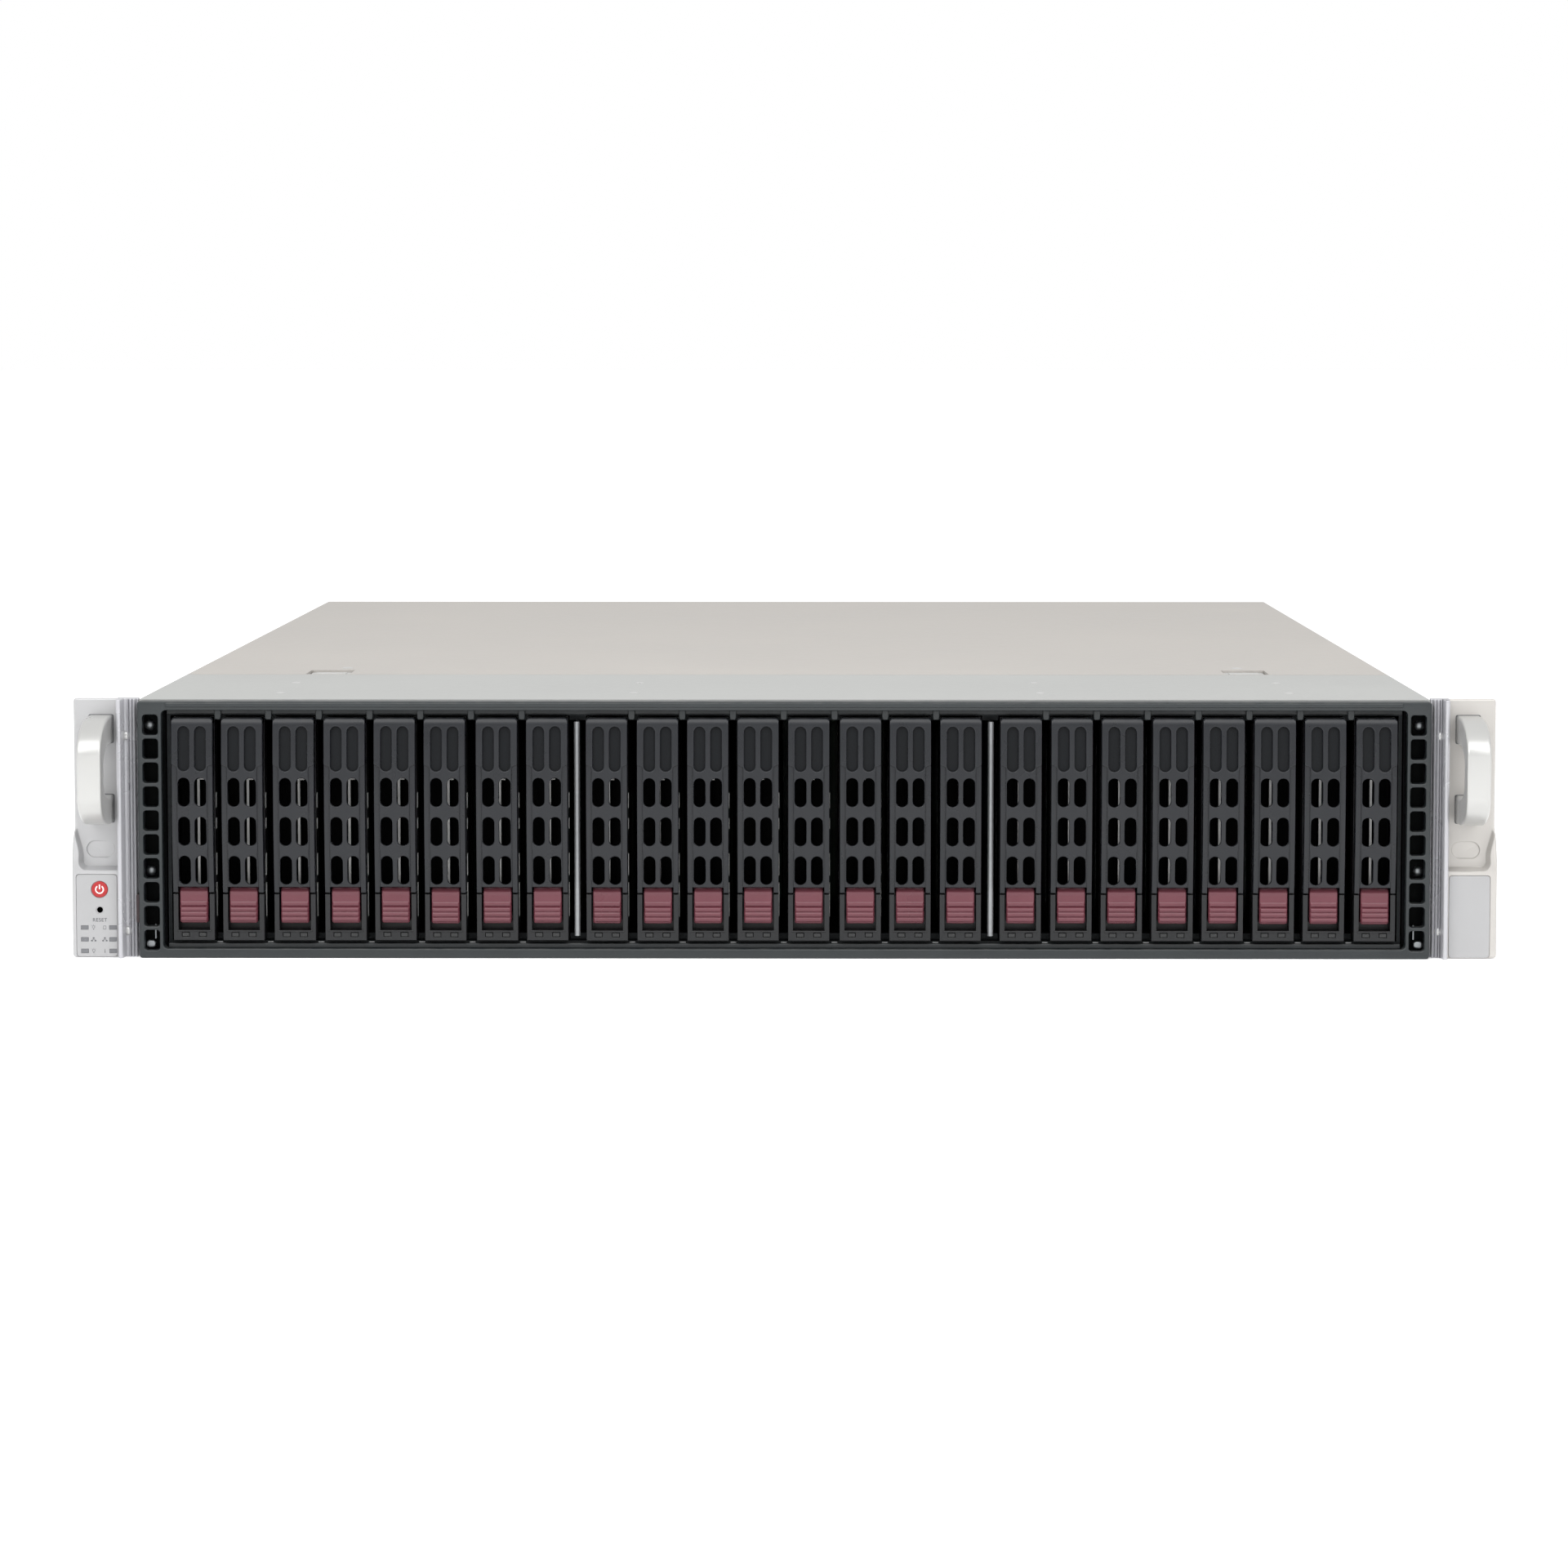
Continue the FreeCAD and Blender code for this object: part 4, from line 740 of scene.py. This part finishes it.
def ear_band(outer):
    """Plan outline of flutes, groove and ridge; outer is its far side."""
    inner = outer - RIDGE_WIDE
    half = RIDGE_WIDE / 2
    ring = [(outer + 0.6, 0.0), (outer + 0.6, -3.5),
            (outer, -3.8), (outer, -10.0)]
    for step in range(1, 8):
        turn = math.pi * step / 8
        ring.append((outer - half + half * math.cos(turn),
                     -10.0 - 0.95 * math.sin(turn)))
    ring += [(inner, -10.0), (inner - 0.05, -8.0),
             (inner - 0.25, -6.3), (inner - 0.5, -5.2)]
    start = FLUTES
    flutes = ((0.0, 0.95), (1.2, 0.95), (2.35, 0.6))
    for foot, wide in flutes[::-1]:
        for step in range(7):
            turn = math.pi * step / 6
            ring.append((start + foot + wide * (0.5 + 0.5 * math.cos(turn)),
                         -5.15 - 1.15 * math.sin(turn) ** 0.6))
        ring.append((start + foot - 0.05, -5.1))
    ring += [(start - 0.1, -3.5), (218.85, -3.5), (218.85, 0.0)]
    return ring[::-1]


def ease(value, low, high):
    """Smooth step from 0 at low to 1 at high."""
    share = min(1.0, max(0.0, (value - low) / (high - low)))
    return share * share * (3 - 2 * share)


def row_width(up, panel):
    """The panel's width at one height, its outer corners rounded."""
    width = panel - 0.4 * ease(up, 38, FIN_TOP)
    for edge, radius in ((EAR_TOP - up, 1.2), (up - 0.3, 0.9)):
        if edge < radius:
            width -= radius - math.sqrt(radius ** 2 - (radius - edge) ** 2)
    return width


def box_depth(out, up, panel, sunk):
    """How far the control box, scoop or fin stands off the panel.

    out is the distance outward from the ridge and up the height; panel is
    the panel's width and sunk the label's middle. All in millimetres.
    """
    width = row_width(up, panel)
    fin_in = panel - 2.3 + 1.9 * ease(up, 34.5, FIN_TOP)
    corner = 2.6
    floor_line = 30.2 - 0.35 * math.cos((out - 6) / 9)
    near_x = min(max(out, 2.4), fin_in - corner)
    near_z = max(up, floor_line + corner)
    away = math.hypot(out - near_x, up - near_z)
    if out < near_x:
        away = math.hypot(max(0.0, near_x - out - 1.6), up - near_z)
    inside = corner - away
    high = 5.0 - 3.2 * ease(up, BOX_TOP, FIN_TOP)
    stand = high * (1 - ease(inside, -0.2, 1.1))
    if up > FIN_TOP - 0.1:
        stand = 0.0
    stand *= 1 - ease(up, FIN_TOP - 3.0, FIN_TOP)
    rim = min(width - out, up - 0.3, EAR_TOP - up)
    if rim < 0.8:
        stand -= 0.8 - math.sqrt(max(0.0, 0.64 - (0.8 - rim) ** 2))
    side = max(abs(out - sunk) - 7.05, abs(up - LABEL_UP) - 14.1)
    corner_out = max(abs(out - sunk) - 5.95, 0)
    corner_up = max(abs(up - LABEL_UP) - 13.0, 0)
    side = max(side, math.hypot(corner_out, corner_up) - 1.1)
    stand -= 0.45 * (1 - ease(side, -0.16, 0.02))
    span = (out - 6.5) / 4.9
    rise = (up - 36.6) / 3.0
    flat = max(0.0, abs(span) * 4.9 - 1.9)
    bowl = math.hypot(flat, rise * 3.0) - 3.0
    deep = 0.8 - 0.45 * ease(up, 35.5, 40.0)
    lean = 0.55 + 0.45 * ease(out, 4.0, 11.0)
    if up > 33:
        stand -= deep * lean * (1 - ease(bowl, -0.34, 0.0))
    return stand


def ear_relief(panel):
    """Control box, scoop and fin of an ear as a fine relief."""
    work = bmesh.new()
    shares = [k / 102 for k in range(103)]
    ups = [0.3 + 44.4 * k / 280 for k in range(281)]
    ups += [50, 60, 70, 80, 86] + [87.0 + 0.1 * k for k in range(11)]
    grid = []
    for up in ups:
        grid.append([work.verts.new(
            (EAR_OUT - panel + out,
             PANEL_FACE - box_depth(out, up, panel, LABEL_MID), up))
            for out in (0.02 + share * (row_width(up, panel) - 0.04)
                        for share in shares)])
    backed(work, grid, -2.9)
    return taken(work, "relief")


def mirrored(mesh):
    """The mesh for the other side of the shelf."""
    for vertex in mesh.vertices:
        vertex.co.x *= -1
    mesh.flip_normals()
    return mesh


ear_paints = {
    "left": plastic("Left ear paint", tint(174, 174, 175), 0.36, tone=0.06,
                    grain=5200, depth=0.012, dust=0.03, metal=0.3),
    "right": plastic("Right ear paint", tint(184, 181, 177), 0.36, tone=0.06,
                     grain=5200, depth=0.012, dust=0.03, metal=0.3),
}
band_paint = plastic("Ear rib paint", tint(180, 180, 184), 0.3, tone=0.06,
                     grain=5200, depth=0.008, dust=0.0, metal=0.35)
screw_steel = metal("Zinc screw", tint(196, 196, 195), 0.34,
                    metallic=0.6)
for side, word in ((-1, "left"), (1, "right")):
    panel = PANEL_WIDE[word]
    ridge = EAR_OUT - panel
    low_x = (ridge - 0.3 + EAR_OUT) / 2
    band = upright(ear_band(ridge), 0.0, EAR_TOP, 0.3)
    backing = moulded([rounded(low_x, 44.1, panel - 0.6, 87.2, 1.1)],
                      -2.95, 0.0, 0.25)
    relief = ear_relief(panel)
    flange = box_mesh((216.95, 0.0, 3.0), (218.45, 40.0, 73.0), 0.3)
    tongue = box_mesh((217.0, -0.8, 3.0), (219.6, 0.0, 73.0), 0.2)
    heads = [dome(ridge - 2.7, z, -5.0, 1.6, 1.3) for z in (75.4, 8.9)]
    groups = [[backing, relief, flange, tongue], [band], heads]
    if side < 0:
        groups = [[mirrored(mesh) for mesh in group] for group in groups]
    dress(f"{word}_rack_ear", joined(groups), "chassis",
          [ear_paints[word], band_paint, screw_steel], sharp=40,
          nodes=[f"{word}_ear"])

# Pull handles: cast loops, satin silver, one leg above the other, held by
# screws from behind. A grey plate behind each root shows as a dark line
# round it: painted shade of the socket that the leg enters.
HANDLE_LOW, HANDLE_HIGH = reach("right_handle")


def handle_side():
    """Side outline of the loop: its outer bow and its arched opening."""
    low, high, near = HANDLE_LOW.z + 0.2, HANDLE_HIGH.z - 0.3, HANDLE_LOW.y
    long, tall = 24.0, 11.5
    leg, arch_long, arch_tall = 9.4, 13.0, 6.5
    inner = near + 7.5 + arch_long
    ring = [(-3.0, low), (near + long, low)]
    ring += arc(near + long, low + tall, long, tall, 270, 180, 16)[1:-1]
    ring += [(near, low + tall), (near, high - tall)]
    ring += arc(near + long, high - tall, long, tall, 180, 90, 16)[1:-1]
    ring += [(near + long, high), (-3.0, high), (-3.0, high - leg)]
    ring += arc(inner, high - leg - arch_tall, arch_long, arch_tall,
                90, 180, 14)
    ring += arc(inner, low + leg + arch_tall, arch_long, arch_tall,
                180, 270, 14)
    ring.append((-3.0, low + leg))
    return ring[::-1]


handle_silver = plastic("Handle silver", tint(187, 187, 185), 0.34,
                        tone=0.06, grain=4200, depth=0.01, dust=0.05,
                        metal=0.5)
# Mid-grey behind the handle roots: painted shade of the sockets.
root_shade_grey = plastic("Handle root painted shade", tint(96, 97, 99), 0.6)
for side, word in ((-1, "left"), (1, "right")):
    mid = side * (HANDLE_LOW.x + HANDLE_HIGH.x) / 2
    loop = moulded([handle_side()], -4.05, 4.05, 0.9, 4)
    for vertex in loop.vertices:
        deep, across, up = vertex.co
        vertex.co = (mid - across, deep, up)
    dress(f"{word}_pull", joined([[loop]]), "chassis",
          [handle_silver], sharp=40, nodes=[f"{word}_handle"])
    seats = [moulded([rounded(mid, z, 8.5, 9.9, 0.6)], -3.6, -3.3, 0.05)
             for z in (HANDLE_LOW.z + 4.9, HANDLE_HIGH.z - 5.0)]
    dress(f"{word}_gaskets", joined([seats]), "chassis",
          [root_shade_grey])


# Control label: a thin polyester film in the left box's recess, with
# windows for six lamps, the word RESET and plain signs beside the lamps.
LABEL_X = -(EAR_OUT - PANEL_WIDE["left"] + LABEL_MID)
BARE_X = EAR_OUT - PANEL_WIDE["right"] + LABEL_MID
LABEL_FACE, LABEL_BACK = -8.46, -8.02
LABEL_SIZE = (13.8, 27.9, 1.1)   # width, height and corner radius
LAMP_ROWS = (10.3, 6.25, 2.3)
LAMP_X = (-237.2, -227.6)
POWER_LOW, POWER_HIGH = reach("power_button")
POWER_X = (POWER_LOW.x + POWER_HIGH.x) / 2
POWER_Z = (POWER_LOW.z + POWER_HIGH.z) / 2
RESET_Z = sum(corner.z for corner in reach("reset_button")) / 2


def circle(mid_x, mid_z, radius, steps=40):
    """Points round a circle, anticlockwise."""
    return [(mid_x + radius * math.cos(2 * math.pi * k / steps),
             mid_z + radius * math.sin(2 * math.pi * k / steps))
            for k in range(steps)]


cuts = [circle(POWER_X, POWER_Z, 2.95), circle(POWER_X, RESET_Z, 1.35)]
for x in LAMP_X:
    cuts += [rounded(x, z, 2.6, 1.5, 0.1, 2) for z in LAMP_ROWS]
film = moulded([rounded(LABEL_X, LABEL_UP, *LABEL_SIZE)] + cuts,
               LABEL_FACE, LABEL_BACK, 0.05, 1)
label_film = plastic("Label film", tint(160, 160, 161), 0.38, tone=0.05,
                     grain=6000, depth=0.004, dust=0.0)
dress("control_label", joined([[film]]), "chassis",
      [label_film])
bare_film = moulded([rounded(BARE_X, LABEL_UP, *LABEL_SIZE)],
                    LABEL_FACE, LABEL_BACK, 0.05, 1)
dress("bare_label", joined([[bare_film]]), "chassis",
      [label_film])
panes = [moulded([rounded(x, z, 2.5, 1.4, 0.08, 2)], -8.44, -7.0, 0.05, 1)
         for x in LAMP_X for z in LAMP_ROWS]
pane_grey = plastic("Lamp pane", tint(104, 105, 108), 0.25, tone=0.3)
dress("lamp_panes", joined([panes]), "chassis", [pane_grey],
      nodes=["indicator_lamps"])


def inked(points, thin=0.035):
    """A printed shape: a film of ink just proud of the label."""
    return moulded([points], LABEL_FACE - thin, LABEL_FACE + 0.02, 0.005, 0)


def stroke(start, end, wide):
    """A printed line between two points."""
    run = Vector((end[0] - start[0], end[1] - start[1]))
    side = Vector((-run.y, run.x)).normalized() * wide / 2
    a, b = Vector(start), Vector(end)
    return inked([tuple(a - side), tuple(b - side), tuple(b + side),
                  tuple(a + side)])


def ring_of_ink(mid_x, mid_z, radius, wide, begin, finish):
    """A printed arc, open at one side."""
    steps = max(4, round((finish - begin) / 12))
    outer, inner = (arc(mid_x, mid_z, size, size, begin, finish, steps)
                    for size in (radius + wide / 2, radius - wide / 2))
    inner = inner[::-1]
    return inked(outer + inner)


def lettered(words, mid_x, mid_z, high):
    """Printed lettering, centred on a point."""
    text = bpy.data.curves.new("words", "FONT")
    text.body = words
    text.size = high / 0.69
    text.align_x, text.align_y = "CENTER", "CENTER"
    text.extrude = 0.02
    text.space_character = 1.1
    holder = bpy.data.objects.new("words", text)
    mesh = bpy.data.meshes.new_from_object(holder)
    bpy.data.objects.remove(holder)
    for vertex in mesh.vertices:
        across, up, deep = vertex.co
        vertex.co = (mid_x + across, LABEL_FACE - 0.02 - deep, mid_z + up)
    return mesh


def bulb(x, z):
    """Sign of a lamp: a round glass, a cap and three rays."""
    marks = [ring_of_ink(x, z + 0.2, 0.42, 0.12, -60, 240),
             stroke((x - 0.2, z - 0.4), (x + 0.2, z - 0.4), 0.16),
             stroke((x - 0.14, z - 0.65), (x + 0.14, z - 0.65), 0.14)]
    for turn in (40, 90, 140):
        way = Vector((math.cos(math.radians(turn)),
                      math.sin(math.radians(turn))))
        mid = Vector((x, z + 0.2))
        marks.append(stroke(mid + way * 0.62, mid + way * 0.85, 0.1))
    return marks


def network(x, z):
    """Sign of a network: one station above two, joined by lines."""
    marks = [stroke((x, z + 0.1), (x, z + 0.3), 0.12),
             stroke((x - 0.6, z), (x + 0.6, z), 0.12)]
    for dx, dz in ((0, 0.5), (-0.6, -0.45), (0.6, -0.45)):
        marks.append(stroke((x + dx - 0.3, z + dz), (x + dx + 0.3, z + dz),
                            0.42))
    return marks


def cylinder_sign(x, z):
    """Sign of a disk: two sides and two rounded ends."""
    return [stroke((x - 0.45, z + 0.55), (x + 0.45, z + 0.55), 0.12),
            stroke((x - 0.45, z - 0.55), (x + 0.45, z - 0.55), 0.12),
            stroke((x - 0.45, z - 0.55), (x - 0.45, z + 0.55), 0.1),
            stroke((x + 0.45, z - 0.55), (x + 0.45, z + 0.55), 0.1)]


SIGN_X = (-234.2, -230.4)
printed = [lettered("RESET", POWER_X, 12.85, 1.2),
           lettered("i", SIGN_X[1], LAMP_ROWS[2], 1.5)]
printed += bulb(SIGN_X[0], LAMP_ROWS[0])
printed += cylinder_sign(SIGN_X[1], LAMP_ROWS[0])
printed += network(SIGN_X[0], LAMP_ROWS[1])
printed += network(SIGN_X[1], LAMP_ROWS[1])
printed += bulb(SIGN_X[0], LAMP_ROWS[2])
ink_grey = plastic("Label ink", tint(74, 76, 80), 0.5, tone=0.1, dust=0.0)
dress("label_print", joined([printed]), "chassis",
      [ink_grey])

# Power button: a red cap with a domed edge and a white power sign, and a
# dark sunken reset pin that a pen tip reaches.
cap_front = POWER_LOW.y
cap = moulded([circle(POWER_X, POWER_Z, 2.78)], cap_front, -6.0, 0.35, 3)
sign = [ring_of_ink(POWER_X, POWER_Z, 1.3, 0.42, 125, 415),
        stroke((POWER_X, POWER_Z + 0.1), (POWER_X, POWER_Z + 1.7), 0.42)]
for mesh in sign:
    for vertex in mesh.vertices:
        vertex.co.y += cap_front - LABEL_FACE
power_red = plastic("Power red", tint(162, 28, 30), 0.3, tone=0.15)
sign_white = plastic("Sign white", tint(240, 236, 234), 0.4, tone=0.05)
dress("power_cap", joined([[cap], sign]), "power_key",
      [power_red, sign_white], nodes=["power_button"])
pin = moulded([circle(POWER_X, RESET_Z, 1.22, 28)], -8.05, -6.0, 0.2, 2)
pin_black = plastic("Reset pin", tint(26, 26, 28), 0.4)
dress("reset_pin", joined([[pin]]), "reset_key",
      [pin_black], nodes=["reset_button"])

# Slot between ear and frame on the left, where the control cable passes:
# a rubber sleeve pushed into the gap.
cable_slot = moulded([rounded(-218.9, 16.8, 1.3, 9.6, 0.4)], -8.4, -3.6, 0.2)
slot_brown = plastic("Cable sleeve", tint(40, 22, 24), 0.5)
dress("cable_sleeve", joined([[cable_slot]]), "chassis",
      [slot_brown])

# ------------------------------------------------------------ sheet top
# Zinc-coated steel: a fixed strip over the drives and a cover that slides
# back. Low rivets hold the strip, and two studs stand on the cover.
TOP = reach("front_top_panel")[1].z
STRIP_END = reach("front_top_panel")[1].y
strip_zinc = metal("Strip zinc", tint(171, 172, 170), 0.56, spangle=0.05,
                   streak=0.05, depth=0.006, metallic=0.3)
cover_zinc = metal("Cover zinc", tint(178, 174, 169), 0.56, spangle=0.05,
                   streak=0.06, depth=0.006, metallic=0.3)


def button_head(x, y, radius, high, sides=18):
    """Low domed head on the top sheet."""
    mesh = dome(0, 0, 0, radius, high, sides, 4)
    for vertex in mesh.vertices:
        across, deep, up = vertex.co
        vertex.co = (x + across, y + up, TOP - deep - 0.02)
    mesh.flip_normals()
    return mesh


rivets = [button_head(x, y, 1.7, 0.35)
          for x in (-174, -52, 88, 174) for y in (28.5, 79)]
studs = [button_head(x, STRIP_END + 36, 2.1, 0.38) for x in (-163.5, 166.5)]
dress("strip_rivets", joined([rivets]), "chassis",
      [screw_steel])
dress("cover_studs", joined([studs]), "cover",
      [screw_steel])

# Cover latches: two sprung push tabs in pressed wells, with ribs for the
# thumb. Pressing both lets the cover slide back.
latch_grey = plastic("Latch plastic", tint(168, 168, 166), 0.4, dust=0.0)
for word in ("left", "right"):
    low, high = reach(f"cover_latch_{word}")
    mid_x, mid_y = (low.x + high.x) / 2, (low.y + high.y) / 2
    wide, long = high.x - low.x, high.y - low.y
    tab = upright(rounded(mid_x, mid_y, wide, long, 1.2)[::-1],
                  low.z, high.z - 0.35, 0.3)
    ribs = [upright(rounded(mid_x, mid_y - 6 + 3 * k, wide - 4, 1.1,
                            0.4)[::-1], high.z - 0.7, high.z, 0.15)
            for k in range(5)]
    dress(f"latch_tab_{word}", joined([[tab] + ribs]),
          f"cover_latch_{word}", [latch_grey],
          nodes=[f"cover_latch_{word}"])


# Countersunk screws that hold the drive cage and the rear panel: flat
# zinc-plated heads with a cross recess, a hair proud of the sheet.
def screw_head(radius):
    """Screw head facing -Y at the origin, its cross recess cut as steps."""
    arm, wide = radius * 0.55, radius * 0.22
    cross = [(arm, wide / 2), (wide / 2, wide / 2), (wide / 2, arm),
             (-wide / 2, arm), (-wide / 2, wide / 2), (-arm, wide / 2),
             (-arm, -wide / 2), (-wide / 2, -wide / 2), (-wide / 2, -arm),
             (wide / 2, -arm), (wide / 2, -wide / 2), (arm, -wide / 2)]
    return [moulded([circle(0, 0, radius, 28), cross], -0.35, 0.0, 0.1),
            moulded([circle(0, 0, radius * 0.8, 20)], -0.12, 0.0, 0.03)]


def placed(meshes, turn, spot):
    """Copies of meshes turned about Z by degrees and moved to a spot."""
    moved = []
    shift = Matrix.Translation(spot) @ Matrix.Rotation(
        math.radians(turn), 4, "Z")
    for mesh in meshes:
        copy = mesh.copy()
        copy.transform(shift)
        moved.append(copy)
    return moved


TUB_SIDE = reach("chassis_tub")[1].x
head_big = screw_head(2.6)
side_heads = []
for side, turn in ((-1, -90), (1, 90)):
    for y, z in ((22, 12), (22, 74), (112, 12), (112, 74), (228, 12),
                 (420, 12), (600, 12)):
        side_heads += placed(head_big, turn, (side * TUB_SIDE, y, z))
dress("side_screws", joined([side_heads]), "chassis",
      [screw_steel])
PANEL_BACK = reach("rear_panel")[1].y
head_small = screw_head(2.2)
rear_heads = []
for x, z in ((-124, 80), (0, 80), (124, 80), (205, 80), (205, 8), (145, 8),
             (-124, 8)):
    rear_heads += placed(head_small, 180, (x, PANEL_BACK, z))
dress("rear_screws", joined([rear_heads]), "chassis",
      [screw_steel])


# ------------------------------------------------------- carried sheets
# Pieces kept in the shape that the model gives them: folded zinc sheets,
# circuit boards, fans and supplies. Each gets its own finish.


def refinish(name, material):
    """Give a kept piece one finish all over."""
    piece = NODES[name]
    piece.data.materials.clear()
    piece.data.materials.append(material)
    for face in piece.data.polygons:
        face.material_index = 0


tub_zinc = metal("Tub zinc", tint(170, 172, 172), 0.42, spangle=0.12,
                 streak=0.08, depth=0.01, dust=0.1)
# The cage's zinc sheet is made dark grey: painted shade for the dark inside behind the
# trays.
cage_shade_zinc = metal("Cage zinc painted shade", tint(46, 48, 49), 0.5, spangle=0.1)
divider_steel = metal("Divider steel", tint(150, 152, 154), 0.36,
                      spangle=0.02, streak=0.3, metallic=0.6)
fan_black = plastic("Fan plastic", tint(28, 29, 31), 0.4, tone=0.4, dust=0.3)
psu_zinc = metal("Supply zinc", tint(160, 162, 163), 0.38, spangle=0.1,
                 dust=0.1)
port_steel = metal("Port shell", tint(200, 200, 198), 0.28, spangle=0.02)
grip_black = plastic("Supply grip", tint(34, 35, 37), 0.45)
latch_red = plastic("Supply latch", tint(132, 44, 54), 0.4)
for material, names in (
        (strip_zinc, ("front_top_panel",)),
        (cover_zinc, ("top_cover",)),
        (tub_zinc, ("chassis_tub", "rear_panel")),
        (cage_shade_zinc, ("drive_cage",)),
        (divider_steel, ("bank_dividers",)),
        (board_green, ("backplane", "expander_board")),
        (port_steel, ("io_ports",)),
        (fan_black, ("fan_wall", "fan_rotor_1", "fan_rotor_2",
                     "fan_rotor_3")),
        (psu_zinc, ("power_distributor", "power_supply_lower",
                    "power_supply_upper")),
        (grip_black, ("psu_handle_lower", "psu_handle_upper")),
        (latch_red, ("psu_latch_lower", "psu_latch_upper"))):
    for name in names:
        refinish(name, material)


# ------------------------------------------------- floor, light, camera
# Pale paper floor that runs to the horizon, in a bright room. Three large
# soft lamps stand in front and above, and a faint one behind.
FLOOR = 40.0                     # half the floor's width in metres
floor_data = bpy.data.meshes.new("floor")
floor_data.from_pydata([(-FLOOR, -FLOOR, 0), (FLOOR, -FLOOR, 0),
                        (FLOOR, FLOOR, 0), (-FLOOR, FLOOR, 0)], [],
                       [(0, 1, 2, 3)])
floor = bpy.data.objects.new("floor", floor_data)
floor.location.z = cad_box[0][2]
floor_paper = bpy.data.materials.new("Floor paper")
floor_paper.use_nodes = True
paper = floor_paper.node_tree.nodes["Principled BSDF"]
paper.inputs["Base Color"].default_value = (0.92, 0.92, 0.92, 1)
paper.inputs["Roughness"].default_value = 0.9
paper.inputs["Emission Color"].default_value = (1, 1, 1, 1)
paper.inputs["Emission Strength"].default_value = 0.28
floor_data.materials.append(floor_paper)
bpy.context.scene.collection.objects.link(floor)

world = bpy.data.worlds.new("Studio")
world.use_nodes = True
glow = world.node_tree.nodes["Background"]
glow.inputs["Color"].default_value = (1, 1, 1, 1)
seen = node(world.node_tree, "LightPath").outputs["Is Camera Ray"]
share = node(world.node_tree, "MapRange", {"Value": seen, "To Min": 0.8,
                                           "To Max": 1.0})
world.node_tree.links.new(share.outputs[0], glow.inputs["Strength"])
bpy.context.scene.world = world


def faced(holder, place, aim):
    """Stand a lamp or the camera at a place, facing a point."""
    holder.location = place
    toward = Vector(aim) - Vector(place)
    holder.rotation_euler = toward.to_track_quat("-Z", "Y").to_euler()
    bpy.context.scene.collection.objects.link(holder)


def lamp(name, place, aim, wide, high, power):
    """A rectangular soft lamp facing a point."""
    light = bpy.data.lights.new(name, "AREA")
    light.shape = "RECTANGLE"
    light.size, light.size_y = wide, high
    light.energy = power
    faced(bpy.data.objects.new(name, light), place, aim)


lamp("key_left", (-1.5, -1.7, 1.7), (0, 0, 0.05), 2.4, 1.7, 27)
lamp("key_right", (1.6, -1.8, 1.6), (0, 0, 0.05), 2.4, 1.7, 25)
lamp("top_front", (0, -0.9, 1.9), (0, 0, 0.08), 2.8, 1.3, 26)
lamp("back_soft", (0, 2.6, 0.55), (0, 0.4, 0.08), 0.8, 0.5, 0.22)

CAMERA_PLACE = (0.0146, -1.6774, 0.2072)
CAMERA_AIM = (0.0001, -0.0095, 0.05946)
camera_data = bpy.data.cameras.new("camera")
camera_data.lens = 113.8
camera_data.sensor_width = 36
camera_data.clip_end = 50
camera = bpy.data.objects.new("camera", camera_data)
faced(camera, CAMERA_PLACE, CAMERA_AIM)
bpy.context.scene.camera = camera
bpy.context.scene.view_settings.view_transform = "Standard"
